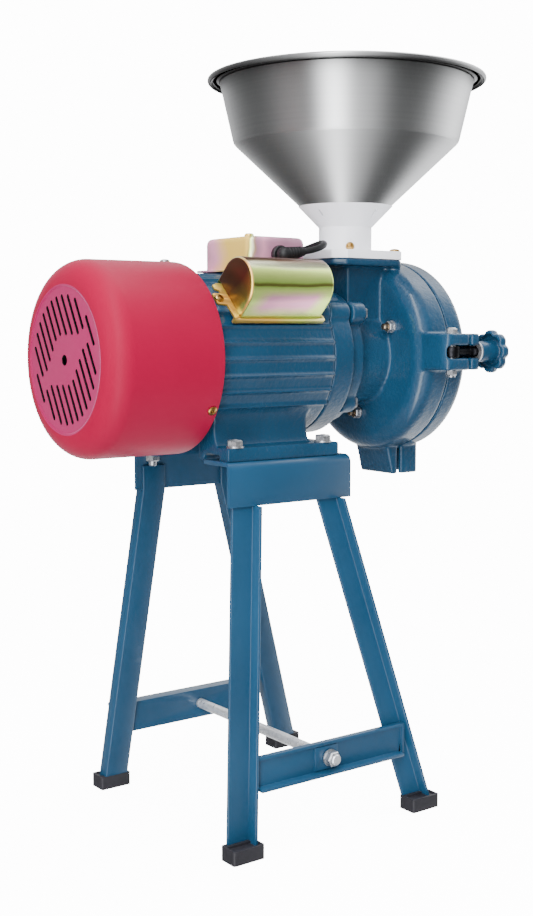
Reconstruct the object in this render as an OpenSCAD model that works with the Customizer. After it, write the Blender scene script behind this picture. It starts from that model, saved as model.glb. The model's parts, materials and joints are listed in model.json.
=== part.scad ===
// Electric grain mill: a disc mill on the shaft of a foot-mounted motor, on a splayed steel stand.
// The shaft runs along X, towards the mill; +Z is up. Sizes in millimetres.

/* [Stand] */
// Height of the shaft above the floor
shaft_height = 435; // [360:5:520]
// Start of the rails, measured from the fan cover's open edge
rail_start = 8; // [0:1:20]
// Length of the rails
rail_length = 138.7; // [130:0.1:180]
// Width of each side of the rail angle
rail_width = 40; // [30:1:50]
// Thickness of the rail angle
rail_thick = 4; // [3:0.5:6]
// Outside faces of the rails, from the centre plane
rail_out = 81.4; // [80:0.1:90]
// Width of a leg's face
leg_width = 25; // [20:1:35]
// Depth of a leg's side flange
leg_flange = 11; // [8:1:16]
// Thickness of the legs
leg_thick = 3; // [2:0.5:4]
// Distance of the legs' faces from the centre plane at the floor
leg_foot_y = 110; // [95:1:130]
// Start of the left legs at the rail
left_leg_top = 14; // [10:1:20]
// Start of the left legs at the floor
left_leg_foot = -15; // [-40:1:10]
// Start of the near right leg at the rail
right_leg_top = 110; // [100:1:115]
// Start of the near right leg at the floor
right_leg_foot = 194.5; // [150:0.5:220]
// Start of the far right leg at the rail
far_leg_top = 106; // [100:1:112]
// Start of the far right leg at the floor
far_leg_foot = 203; // [150:1:220]
// Height of the crossbars' lower edge above the floor
bar_low = 55; // [40:1:90]
// Height of the crossbars
bar_height = 30; // [24:1:40]
// Tie rod diameter
rod_d = 10; // [8:1:12]
// Tie rod position along the shaft
rod_x = 99; // [80:1:120]
// Height of the rubber boots
boot_h = 13; // [10:1:20]

/* [Motor] */
// Centre height of the motor above its feet
motor_h = 90; // [80:1:100]
// Radius of the motor body over its ribs
body_r = 78; // [76:0.5:84]
// Height of the cooling ribs
rib_h = 3; // [2:0.5:5]
// Number of ribs around the body
rib_count = 32; // [24:1:40]
// Length of the ribbed motor body
body_len = 131; // [120:1:160]
// Foot bolt distance across the motor
bolt_a = 140; // [125:1:150]
// Foot bolt distance along the motor
bolt_b = 100; // [90:1:112]
// Fan cover radius
fan_cover_r = 87.5; // [82:0.5:100]
// Fan cover length
fan_cover_len = 109.5; // [70:0.5:120]
// Fan cover edge radius
fan_cover_edge = 22; // [8:1:30]
// Fan cover sheet thickness
fan_cover_t = 1.5; // [1:0.1:3]
// Width of the fan cover's air slots
slot_w = 3.2; // [2:0.1:4]
// Spacing of the air slots
slot_pitch = 9.6; // [8:0.1:12]
// Shaft diameter at bearings and mill
shaft_d = 20; // [20:1:20]
// Stator bore radius
stator_r = 41; // [38:0.5:45]
// Air gap between rotor and stator
air_gap = 0.4; // [0.3:0.05:0.8]

/* [Electrics] */
// Terminal box length
term_len = 67; // [55:1:70]
// Terminal box width
term_wide = 76; // [60:1:80]
// Top of the terminal box above the shaft
term_top = 112; // [105:1:120]
// Width of the capacitor cover
cap_w = 48; // [40:1:50]
// Height of the capacitor cover
cap_h = 42; // [30:1:45]
// Length of the capacitor cover
cap_len = 93; // [80:1:98]
// Power cord diameter
cord_d = 6; // [6:0.5:8]

/* [Mill] */
// Outside radius of the grinding bowl
bowl_r = 95; // [90:1:110]
// Wall of the bowl and the cover
bowl_wall = 7; // [5:0.5:9]
// Seam between bowl and cover
seam_x = 260; // [258:0.5:262]
// Front face of the cover
front_x = 285.5; // [282:0.5:292]
// Radius of the grinding discs
disc_r = 70; // [60:1:75]
// Feed auger radius
auger_r = 28; // [22:0.5:28]
// Auger bore radius in the housing
bore_r = 30; // [30:0.5:32]
// Feed throat radius
throat_r = 19; // [14:0.5:20]
// Centre of the feed throat along the shaft
feed_x = 206; // [204:0.5:208]
// Width of the square feed flange
pad_w = 90; // [80:1:96]
// Height of the latch above the shaft
latch_z = 5; // [0:1:10]
// Distance of the latch beyond the bowl
latch_out = 21; // [19:0.5:25]
// Swivel of the eye bolt along the shaft
latch_x = 242; // [240:0.5:244]
// Star knob radius
star_r = 20.8; // [16:0.1:21]
// Distance of the cover hinge beyond the bowl
hinge_out = 13; // [11:0.5:17]
// Hinge pin diameter
hinge_d = 8; // [6:0.5:10]
// Adjusting screw diameter
adj_d = 16; // [12:1:20]

/* [Hopper] */
// Outside radius of the hopper's rolled rim
rim_r = 137; // [110:1:150]
// Height of the upper wall, from the corner to the rim
wall_h = 62; // [50:1:80]
// Radius where the cone meets the upper wall
knuckle_r = 112; // [90:1:125]
// Height of that corner above the collar's mouth
cone_h = 62; // [50:1:75]
// Height of the collar's neck
neck_h = 32; // [28:1:40]
// Outside radius of the collar's neck
neck_out = 26.3; // [25:0.1:28]
// Height of the collar's funnel
funnel_h = 21; // [18:1:24]
// Outside radius of the funnel's mouth
mouth_r = 46.8; // [44:0.1:50]
// Sheet thickness of the hopper
sheet = 1; // [0.8:0.1:1.5]

/* [Hidden] */

$fn = 64;
e = 0.02;          // radial clearance of a fixed fit
run = 0.05;        // radial clearance of a running fit
gap = 0.3;         // rest gap between bodies that meet
floor_z = -shaft_height;
rail_z = -motor_h;
rail_end = rail_start + rail_length;
leg_top_z = rail_z - rail_width;
leg_end_z = floor_z + 3;
leg_y = rail_out - rail_thick;
leg_run = leg_top_z - leg_end_z;
bolt_x0 = 22;
frame_x0 = 2;
frame_x1 = frame_x0 + body_len;
wall_r = body_r - rib_h;
core_r = 66;
lug = 71;
lug_turn = 54;
lug_x1 = 177;
low_bolt = 62;
shaft_r = shaft_d / 2;
foot_t = 12;
bar_z = floor_z + bar_low;
term_x = 61;
term_z = 80;
cap_x = 24;
cap_screws = [[12.5, -4], [109.5, -4]];
cap_d = body_r;
cap_s = -2;
mill_x0 = 160;
back_x = 225;
cav_x = back_x + bowl_wall;
cav_r = bowl_r - bowl_wall;
cover_x = seam_x + gap;
front_in = front_x - bowl_wall;
latch_y = bowl_r + latch_out;
hinge_y = bowl_r + hinge_out;
spout_z = -bowl_r - 26;
pad_z = bowl_r - 7;
pad_t = 7;
chute_z = 17 - bowl_r;
seal_r = bowl_r - 2;
collar_z = pad_z + pad_t;
slot_h = 6;
arm_h = 17.4;
eye_r = 8;
fork_r = 31;
mouth_z = collar_z + neck_h + funnel_h;
knuckle_z = mouth_z + cone_h;
rim_z = knuckle_z + wall_h;
hop_d = funnel_h + 0.5;
mouth_in = mouth_r - 1.2;
cone_k = (knuckle_r - mouth_in) / cone_h;
neck_r = mouth_in - cone_k * hop_d;
mid_x = (feed_x + rim_r - fan_cover_len) / 2;
hank_z = -70.8;
hank_h = 3 * cord_d;
hank_y = 79;
lead = [[107.3, -50.8, 97.3], [113, -52.4, 98.3], [119, -54, 99.4], [126, -54.9, 101.2], [133, -53.6,
  103.5],
  [139.2, -49.4, 105.8], [143.6, -42.8, 107.3], [146.3, -34.5, 107.6], [147.8, -25, 106.6], [148.8,
    -14, 104.8],
  [149.7, 3, 102], [151, 20, 100], [153, 36, 95.5], [156, 52, 87], [159.5, 66, 74], [164, 78, 58],
    [170, 87, 40],
  [176.5, 93, 20], [181.5, 96, 0], [184.8, 97, -16], [186, 97, -29.8], [186, 97, -41.8],
  [184.3, 97, -51], [179.2, 97, -59.4], [171.5, 97, -65.2], [165.5, 97, -67.4], [160, 97, -67.8]];
tail = [[140, 97, -49.9], [132, 97, -49.7], [122, 96.3, -48.2], [112, 94, -44.2], [102, 91.2, -39],
  [93, 89.7, -36.1], [86, 89.5, -35.8]];

// ---- helpers ----
module along(x0, x1) translate([x0, 0, 0]) rotate([90, 0, 90]) linear_extrude(x1 - x0) children();
module cylx(x0, x1, r) translate([x0, 0, 0]) rotate([0, 90, 0]) cylinder(h = x1 - x0, r = r);
module at(y, z) translate([0, y, z]) children();
module spin(n, a0 = 0) for (i = [0:n - 1]) rotate([a0 + 360 / n * i, 0, 0]) children();
module turned() rotate([0, 90, 0]) rotate_extrude($fn = 96) children();
module hexx(x0, x1, af) translate([x0, 0, 0]) rotate([0, 90, 0]) cylinder(h = x1 - x0,
  d = af / cos(30), $fn = 6);
module hexz(z0, z1, af) translate([0, 0, z0]) cylinder(h = z1 - z0, d = af / cos(30), $fn = 6);
module cylz(z0, z1, r) translate([0, 0, z0]) cylinder(h = z1 - z0, r = r);
module cyly(y0, y1, r) translate([0, y0, 0]) rotate([-90, 0, 0]) cylinder(h = y1 - y0, r = r);
module block(a, b) translate(a) cube(b - a);
// rectangle from [0, 0] with rounded corners
module rrect(w, h, r) union() {
  translate([r, 0]) square([w - 2 * r, h]);
  translate([0, r]) square([w, h - 2 * r]);
  for (x = [r, w - r], y = [r, h - r]) translate([x, y]) circle(r, $fn = 32);
}

function cross3(a, b) = [a[1]*b[2] - a[2]*b[1], a[2]*b[0] - a[0]*b[2], a[0]*b[1] - a[1]*b[0]];
function unit(v) = v / norm(v);
function tang(p, i) = unit(p[min(i + 1, len(p) - 1)] - p[max(i - 1, 0)]);
// a round tube along a list of points
function frames(p, i, s) = i >= len(p) ? [] :
  let (t = tang(p, i), v = unit(s - (s * t) * t)) concat([v], frames(p, i + 1, v));
module tube_path(p, d, n = 12) {
  k = len(p);
  f = frames(p, 0, [0, 0, 1]);
  pts = [for (i = [0:k - 1]) let (v = cross3(f[i], tang(p, i)))
    for (j = [0:n - 1]) p[i] + d / 2 * (cos(360 / n * j) * f[i] + sin(360 / n * j) * v)];
  polyhedron(pts, concat([[for (j = [0:n - 1]) n - 1 - j]], [[for (j = [0:n - 1]) (k - 1) * n + j]],
    [for (i = [0:k - 2]) for (j = [0:n - 1]) [i*n + j, i*n + (j + 1) % n, (i + 1)*n + (j + 1) % n]],
    [for (i = [0:k - 2]) for (j = [0:n - 1]) [i*n + j, (i + 1)*n + (j + 1) % n, (i + 1)*n + j]]));
}

// ---- stand ----
module rail() {
  r = 8;
  difference() {
    along(rail_start, rail_end) difference() {
      union() {
        translate([rail_out - rail_width, rail_z - rail_width]) square([rail_width, rail_width - r]);
        translate([rail_out - rail_width, rail_z - rail_width]) square([rail_width - r, rail_width]);
        translate([rail_out - r, rail_z - r]) circle(r);
      }
      translate([rail_out - rail_width - 1, rail_z - rail_width - 1])
        square([rail_width - rail_thick + 1, rail_width - rail_thick + 1]);
    }
    for (x = [bolt_x0, bolt_x0 + bolt_b]) translate([x, bolt_a / 2, 0]) cylz(rail_z - 10, rail_z + 1, 4.5);
  }
}
// sections of the legs, from the corner of the face; the flange is points 1 to 4
near_sec = [[0, 0], [leg_width - leg_thick, 0], [leg_width - leg_thick, -leg_flange],
  [leg_width, -leg_flange], [leg_width, 0], [leg_width, leg_thick], [0, leg_thick]];
far_sec = [for (p = near_sec) [leg_width - p[0], -p[1]]];
// a leg: full section from the floor end to the rail, then the bare web behind the rail
module leg_bar(sec, a, b, up = rail_width - 16) {
  t = [for (i = [0, 1, 4, 5, 6]) sec[i]];
  polyhedron(concat([for (p = sec) [a[0] + p[0], a[1] + p[1], leg_end_z]],
      [for (p = sec) [b[0] + p[0], b[1] + p[1], leg_top_z]],
      [for (p = t) [b[0] + p[0], b[1] + p[1], leg_top_z + up]]),
    concat([[for (i = [0:6]) i]], [[18, 17, 16, 15, 14]], [[11, 10, 9, 8]],
      [for (i = [0:6]) [i, i + 7, (i + 1) % 7 + 7, (i + 1) % 7]],
      [[7, 14, 15, 8], [8, 15, 16, 11], [11, 16, 17, 12], [12, 17, 18, 13], [13, 18, 14, 7]]));
}
module near_left_bar() leg_bar(near_sec, [left_leg_foot, -leg_foot_y], [left_leg_top, -leg_y]);
module near_right_bar() leg_bar(near_sec, [right_leg_foot, -leg_foot_y], [right_leg_top, -leg_y]);
module far_left_bar() leg_bar(far_sec, [left_leg_foot, leg_foot_y], [left_leg_top, leg_y]);
module far_right_bar() leg_bar(far_sec, [far_leg_foot, leg_foot_y], [far_leg_top, leg_y]);
module near_left_leg() color("steelblue") near_left_bar();
module near_right_leg() color("steelblue") near_right_bar();
module far_left_leg() color("steelblue") far_left_bar();
module far_right_leg() color("steelblue") far_right_bar();
module far_rail() color("steelblue") rail();
module near_rail() color("steelblue") mirror([0, 1, 0]) rail();

function leg_x(foot, top, z) = foot + (top - foot) * (z - leg_end_z) / leg_run;
bar_y0 = leg_y + (leg_foot_y - leg_y) * (leg_top_z - bar_z) / leg_run + 0.1;
bar_y1 = bar_y0 + 3.3;
bar_mid = bar_z + bar_height / 2;
bar_top = bar_z + bar_height;
module near_crossbar() color("steelblue") difference() {
  x0 = leg_x(left_leg_foot, left_leg_top, bar_top) + leg_width + 0.1;
  x1 = leg_x(right_leg_foot, right_leg_top, bar_z) + 12;
  union() {
    block([x0, -bar_y1, bar_z], [x1, -bar_y0, bar_top]);
    block([x0, -bar_y1 - 9, bar_z], [x1 - 6, -bar_y1 + 1, bar_z + 3]);
    block([x0, -bar_y1 - 2.5, bar_top - 3], [x1, -bar_y1 + 1, bar_top]);
    block([x1 - 3, -bar_y1 - 2.5, bar_z + 1], [x1, -bar_y1 + 1, bar_top - 1]);
    block([rod_x - 16, -bar_y1 - 2, bar_mid - 11], [rod_x + 10, -bar_y1 + 1, bar_mid + 11]);
  }
  translate([rod_x, 0, bar_mid]) cyly(-130, -90, rod_d / 2 + e);
}
module far_crossbar() color("steelblue") difference() {
  x0 = leg_x(left_leg_foot, left_leg_top, bar_top) + leg_thick + 0.1;
  x1 = leg_x(far_leg_foot, far_leg_top, bar_top) - 0.1;
  union() {
    along(x0, x1) polygon([[bar_y0, bar_z], [bar_y1, bar_z], [bar_y1, bar_top - 3],
      [bar_y1 + 11, bar_top - 3], [bar_y1 + 11, bar_top], [bar_y0, bar_top]]);
    block([rod_x - 16, bar_y1 - 1, bar_mid - 11], [rod_x + 10, bar_y1 + 2, bar_mid + 11]);
  }
  translate([rod_x, 0, bar_mid]) cyly(90, 130, rod_d / 2 + e);
}
module tie_rod() color("silver") translate([rod_x, 0, bar_mid]) cyly(-bar_y1 - 13, bar_y1 + 13, rod_d / 2);
module tie_rod_nuts() color("silver") for (s = [-1, 1]) translate([rod_x, s * (bar_y1 + 6), bar_mid])
  rotate([90, 0, 0]) difference() {
    translate([0, 0, -4]) cylinder(h = 8, d = 16 / cos(30), $fn = 6);
    cylz(-5, 5, rod_d / 2 + e);
  }
module boot(x, s) {
  difference() {
    translate([x - 4, s > 0 ? leg_foot_y - 4.5 : -leg_foot_y - leg_flange - 5, floor_z]) difference() {
      linear_extrude(boot_h) rrect(leg_width + 8, leg_flange + 9.5, 2);
      translate([2, s > 0 ? 7 : 2, boot_h - 2]) cube([leg_width + 4, leg_flange + 0.5, 3]);
    }
    children();
  }
}
module rubber_boots() color("dimgray") {
  boot(left_leg_foot, -1) near_left_bar();
  boot(right_leg_foot, -1) near_right_bar();
  boot(left_leg_foot, 1) far_left_bar();
  boot(far_leg_foot, 1) far_right_bar();
}
module at_foot_bolts() for (x = [bolt_x0, bolt_x0 + bolt_b], y = [-bolt_a / 2, bolt_a / 2])
  translate([x, y, rail_z]) children();
module foot_bolts() color("silver") at_foot_bolts() union() {
  cylz(-16, foot_t + 1, 4);
  cylz(foot_t, foot_t + 1.6, 8);
  hexz(foot_t + 1.6, foot_t + 6.9, 13);
}
module foot_nuts() color("silver") at_foot_bolts() difference() {
  rotate([0, 0, 0]) hexz(-rail_thick - 6.5, -rail_thick, 13);
  cylz(-12, 1, 4 + e);
}

// ---- motor ----
module motor_section() {
  circle(wall_r, $fn = 96);
  for (i = [0:rib_count - 1]) if (abs((360 / rib_count * i + 90) % 360 - 180) < 128)
    rotate(360 / rib_count * i) translate([wall_r - 2, -1.2]) square([rib_h + 2, 2.4]);
}
module flare() difference() {
  translate([-60, rail_z + foot_t - 4]) square([120, 52]);
  for (s = [-1, 1]) translate([s * 84, -62]) circle(29.4);
  for (s = [-1, 1]) translate([s > 0 ? 60 : -100, -100]) square([40, 100]);
}
module motor_frame() color("steelblue") difference() {
  union() {
    along(frame_x0, frame_x1) motor_section();
    along(10, 115) flare();
    for (s = [-1, 1]) block([10, min(s * 28, s * 77), rail_z], [136, max(s * 28, s * 77), rail_z + foot_t]);
    along(121, frame_x1) for (s = [-1, 1]) rotate(90 + lug_turn * s) translate([lug, 0]) circle(11);
    block([term_x - 4, -37, 55], [term_x + term_len + 3, 37, term_z]);
    cap_frame() block([8, -18, 55], [114, 14, cap_d]);
  }
  along(-1, 200) circle(core_r, $fn = 96);
  block([0, -30, rail_z - 1], [140, 30, rail_z + 16]);
  for (s = [-1, 1]) block([9, min(s * 38, s * 63), rail_z - 1], [137, max(s * 38, s * 63), rail_z + 5]);
  at_foot_bolts() cylz(-1, 20, 4 + e);
  for (s = [-1, 1]) rotate([lug_turn * s, 0, 0]) at(0, lug) cylx(112, 140, 4 + e);
  spin(4, 45) at(0, 70.5) cylx(0, 9.7, 3 + e);
  cap_frame() for (p = cap_screws) translate([p[0], p[1], 0]) cylz(cap_d - 9, cap_d + 1, 2.5 + e);
  translate([term_x - 8 + 42, 0, 0]) cylz(60, term_z + 1, 6);
}
// local frame of the capacitor cover: X along the shaft, Y across, Z away from the motor's axis
module cap_frame() rotate([45, 0, 0]) children();
module slots2d(n, r0, r1, w) for (i = [0:n - 1]) rotate(360 / n * i) translate([r0, -w / 2])
  square([r1 - r0, w]);
module stator_core() color("gray") along(28, 108) difference() {
  circle(core_r - e, $fn = 96);
  circle(stator_r, $fn = 96);
  slots2d(24, stator_r + 2, 57, 5);
  slots2d(24, stator_r - 1, stator_r + 3, 1.6);
}
module stator_windings() color("peru") union() {
  along(28, 108) slots2d(24, stator_r + 2, 57, 5);
  for (x = [[15, 28], [108, 121]]) along(x[0], x[1]) difference() {
    circle(60, $fn = 96);
    circle(stator_r + 2, $fn = 96);
  }
}
module rotor_core() color("lightgray") along(22, 114) difference() {
  circle(stator_r - air_gap, $fn = 96);
  circle(13 + e);
}
module motor_shaft() color("silver") union() {
  cylx(-72, 12, shaft_r);
  cylx(11, 138.5, 13);
  cylx(138, 240, shaft_r);
  intersection() {
    cylx(239, 257, shaft_r);
    block([239, -20, -7.5], [257, 20, 7.5]);
  }
}
brg = [-4, 140];
module at_bearings() for (x = brg) translate([x + 7, 0, 0]) children();
module bearing_outer_rings() color("silver") at_bearings() turned() difference() {
  translate([19.3, -7]) square([23.5 - 19.3, 14]);
  translate([16.75 + 0.13, 0]) circle(4.1);
}
module bearing_inner_rings() color("silver") at_bearings() turned() difference() {
  translate([shaft_r + e, -7]) square([14.2 - shaft_r - e, 14]);
  translate([16.75 + 0.13, 0]) circle(4.1);
}
module bearing_balls() color("silver") at_bearings() spin(8) at(0, 16.75) sphere(3.97, $fn = 24);
module rear_end_shield() color("steelblue") difference() {
  union() {
    cylx(-10.5, frame_x0, wall_r - 0.5);
    cylx(-10.5, 10.5, 33);
    spin(3, 0) at(0, 0) translate([-6, 0, 60]) cylinder(h = fan_cover_r - fan_cover_t - 60.16, r = 5);
  }
  cylx(-4, 11, 23.5 + e);
  cylx(-12, 0, 12);
  spin(4, 45) at(0, 70.5) cylx(-12, 5, 3 + e);
  spin(3, 0) translate([-6, 0, 72]) cylinder(h = 20, r = 2.5 + e);
  difference() { cylx(-5, 3, 64); cylx(-6, 11, 33); }
}
module rear_shield_screws() color("silver") spin(4, 45) at(0, 70.5) union() {
  cylx(-10.5, 9.5, 3);
  difference() { cylx(-14.5, -10.5, 5); hexx(-15, -12.5, 4); }
}
module fan_cup(r, l, c) {
  square([r, l - c]);
  square([r - c, l]);
  translate([r - c, l - c]) circle(c, $fn = 64);
}
module fan_cover() color("crimson") difference() {
  rotate([0, -90, 0]) rotate_extrude($fn = 128) difference() {
    intersection() { fan_cup(fan_cover_r, fan_cover_len, fan_cover_edge); square(200); }
    intersection() {
      translate([0, -1])
        fan_cup(fan_cover_r - fan_cover_t, fan_cover_len - fan_cover_t + 1, fan_cover_edge - fan_cover_t);
      translate([0, -1]) square(200);
    }
  }
  cylx(-fan_cover_len - 1, -fan_cover_len + 4, 4.75);
  along(-fan_cover_len - 1, -fan_cover_len + 4) rotate(60.7) {
    for (k = [0:4], s = [-1, 1], t = [0, 180]) slot(t, s * (0.5 + k) * slot_pitch);
    for (s = [-1, 1]) translate([-12.6, s * 5.5 * slot_pitch - slot_w / 2]) square([25.2, slot_w]);
    for (s = [-1, 1], q = [-1, 1]) translate([q * 12.6, s * 5.5 * slot_pitch]) circle(d = slot_w, $fn = 20);
  }
  spin(3, 0) translate([-6, 0, 80]) cylinder(h = 20, r = 2.5 + e);
}
module slot(t, o) rotate(t) translate([0, o]) {
  a = max(6.7, 24 - 0.5 * abs(o)) + slot_w / 2;
  b = sqrt(56.5 * 56.5 - o * o) - slot_w / 2;
  translate([a, -slot_w / 2]) square([b - a, slot_w]);
  for (x = [a, b]) translate([x, 0]) circle(d = slot_w, $fn = 20);
}
module fan_cover_screws() color("silver") spin(3, 0) translate([-6, 0, 0]) difference() {
  union() {
    cylz(78, fan_cover_r + 0.5, 2.5);
    cylz(fan_cover_r, fan_cover_r + 2.4, 4.6);
  }
  translate([-0.5, -2.6, fan_cover_r + 1.4]) cube([1, 5.2, 2]);
  translate([-2.6, -0.5, fan_cover_r + 1.4]) cube([5.2, 1, 2]);
}
module cooling_fan() color("dimgray") difference() {
  union() {
    cylx(-64, -36, 17);
    cylx(-38, -34, 72);
    spin(7, 10) translate([-63, -1.5, 14]) cube([27, 3, 56]);
  }
  cylx(-70, -30, shaft_r + e);
}
module drive_end_shield() color("steelblue") difference() {
  union() {
    along(frame_x1, 157) union() {
      circle(wall_r, $fn = 96);
      for (s = [-1, 1]) rotate(90 + lug_turn * s) translate([lug, 0]) circle(11);
    }
    cylx(156, mill_x0, 54);
  }
  along(frame_x1 - 1, 146) difference() { circle(64); circle(33); }
  cylx(frame_x1 - 1, 138, 25);
  cylx(137, 154, 23.5 + e);
  cylx(150, 170, 12);
  for (s = [-1, 1]) rotate([lug_turn * s, 0, 0]) at(0, lug) cylx(100, 170, 4 + e);
  for (s = [-1, 1]) rotate([135 * s, 0, 0]) at(0, low_bolt) cylx(148, 170, 4 + e);
}

// ---- electrics ----
module box2d(x0, x1, w, r) translate([x0, -w / 2]) rrect(x1 - x0, w, r);
module terminal_box_base() color("khaki") difference() {
  translate([0, 0, term_z]) linear_extrude(2) box2d(term_x - 8, term_x + term_len + 2, term_wide + 2, 3);
  translate([term_x - 8 + 42, 0, 0]) cylz(term_z - 1, term_z + 3, 6);
}
module terminal_box_lid() color("khaki") difference() {
  h = term_top - term_z - 2;
  translate([0, 0, term_z + 2]) union() {
    linear_extrude(h - 3) box2d(term_x, term_x + term_len, term_wide, 9);
    linear_extrude(h) box2d(term_x + 3, term_x + term_len - 3, term_wide - 6, 6);
    translate([0, 0, h - 3]) linear_extrude(2) box2d(term_x + 0.9, term_x + term_len - 0.9,
      term_wide - 1.8, 8);
  }
  translate([0, 0, term_z + 1]) linear_extrude(h - 3) box2d(term_x + 1.5, term_x + term_len - 1.5,
    term_wide - 3, 7.5);
  translate([94, 0, 95]) cyly(-60, -20, 7 + e);
  translate([term_x + 27, 0, 0]) cylz(100, 120, 2.5 + e);
}
module terminal_box_screw() color("khaki") translate([term_x + 27, 0, 0]) difference() {
  union() { cylz(term_z + 2, term_top + 0.5, 2.5); cylz(term_top, term_top + 3, 4.6); }
  translate([-5, -0.5, term_top + 1.8]) cube([10, 1, 2]);
}
module terminal_block() color("saddlebrown") difference() {
  union() {
    block([70, -16, term_z + 2], [82, 16, term_z + 14]);
    for (y = [-10, 0, 10]) translate([76, y, 0]) cylz(term_z + 13, term_z + 19, 2);
  }
  for (y = [-5, 5]) block([69, y - 0.7, term_z + 10], [83, y + 0.7, term_z + 15]);
}
module cable_gland() color("black") difference() {
  union() {
    translate([94, 0, 95]) cyly(-46, -34, 7);
    translate([94, 0, 95]) cyly(-44, -38, 10);
    translate([94, -47, 0]) cylz(86.5, 103.5, 8.6);
    translate([94, -47, 95]) rotate([0, 80.6, -15.8]) cylinder(h = 20, r1 = 8, r2 = 4.6);
  }
  translate([94, -47, 95]) rotate([0, 80.6, -15.8]) cylz(0.1, 24, cord_d / 2 + e);
  translate([94, -47, 95]) cyly(0, 20, cord_d / 2 + e);
  translate([94, -47, 0]) cylz(91.4, 98.6, cord_d / 2 + 0.4);
}
module cap2d(w, h) intersection() {
  union() { translate([-w / 2, 0]) square([w, h - w / 2]); translate([0, h - w / 2]) circle(w / 2); }
  translate([-w, 0]) square([2 * w, 2 * w]);
}
// foot edges of the cover, the bracket's lip outside the lower one, and how far both reach below the plate
cap_lo = cap_s - cap_w / 2;
cap_hi = cap_s + cap_w / 2;
module capacitor_bracket() color("khaki") cap_frame() difference() {
  union() {
    translate([0, 0, cap_d]) linear_extrude(2) polygon([[18, cap_lo - 2.6], [cap_x - 0.3, cap_lo - 2.6],
      [cap_x - 0.3, cap_lo + 1.5], [cap_x + cap_len - 1.6, cap_lo + 1.5], [cap_x + cap_len - 1.6, cap_hi - 1.5],
      [26, cap_hi - 1.5], [26, 13], [23, 15.5], [19, 15.5], [14, 13], [14, 8], [18, 6.5], [18, 2.5],
      [9.5, 2.5], [8.5, 1.5], [8.5, -9.5], [9.5, -10.5], [18, -11.5]]);
    block([18, cap_lo - 2.6, cap_d - 4.4], [cap_x - 0.3, cap_lo - 0.3, cap_d + 1]);
    block([18, cap_lo - 2.6, cap_d - 4.4], [cap_x + cap_len + 2.5, cap_lo - 0.3, cap_d + 0.5]);
    block([cap_x + cap_len + 0.3, cap_lo - 2.6, cap_d - 4.4], [cap_x + cap_len + 2.5, cap_lo + 4, cap_d + 0.5]);
  }
  for (p = cap_screws) translate([p[0], p[1], 0]) cylz(cap_d - 1, cap_d + 3, 2.5 + e);
}
module capacitor_cover() color("khaki") cap_frame() difference() {
  translate([0, cap_s, cap_d - 3]) along(cap_x, cap_x + cap_len) cap2d(cap_w, cap_h + 3);
  translate([0, cap_s, cap_d - 4]) along(cap_x + 1.2, cap_x + cap_len - 1.2) cap2d(cap_w - 2.4, cap_h + 2.8);
  block([cap_x - 1, cap_lo + 1.2, cap_d - 4], [cap_x + cap_len + 1, cap_hi - 1.2, cap_d + 2.3]);
}
module capacitor() color("white") cap_frame() union() {
  translate([0, cap_s, cap_d + 2 + 17.5]) cylx(cap_x + 8, cap_x + cap_len - 14, 17.5);
  translate([0, cap_s, cap_d + 2 + 17.5]) cylx(cap_x + cap_len - 14.5, cap_x + cap_len - 7, 6);
}
module capacitor_screws() color("goldenrod") cap_frame() for (p = cap_screws)
  translate([p[0], p[1], 0]) difference() {
    union() { cylz(cap_d - 8, cap_d + 2.5, 2.5); cylz(cap_d + 2, cap_d + 4.6, 4.3); }
    translate([-4.5, -0.5, cap_d + 3.6]) cube([9, 1, 2]);
  }

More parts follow.
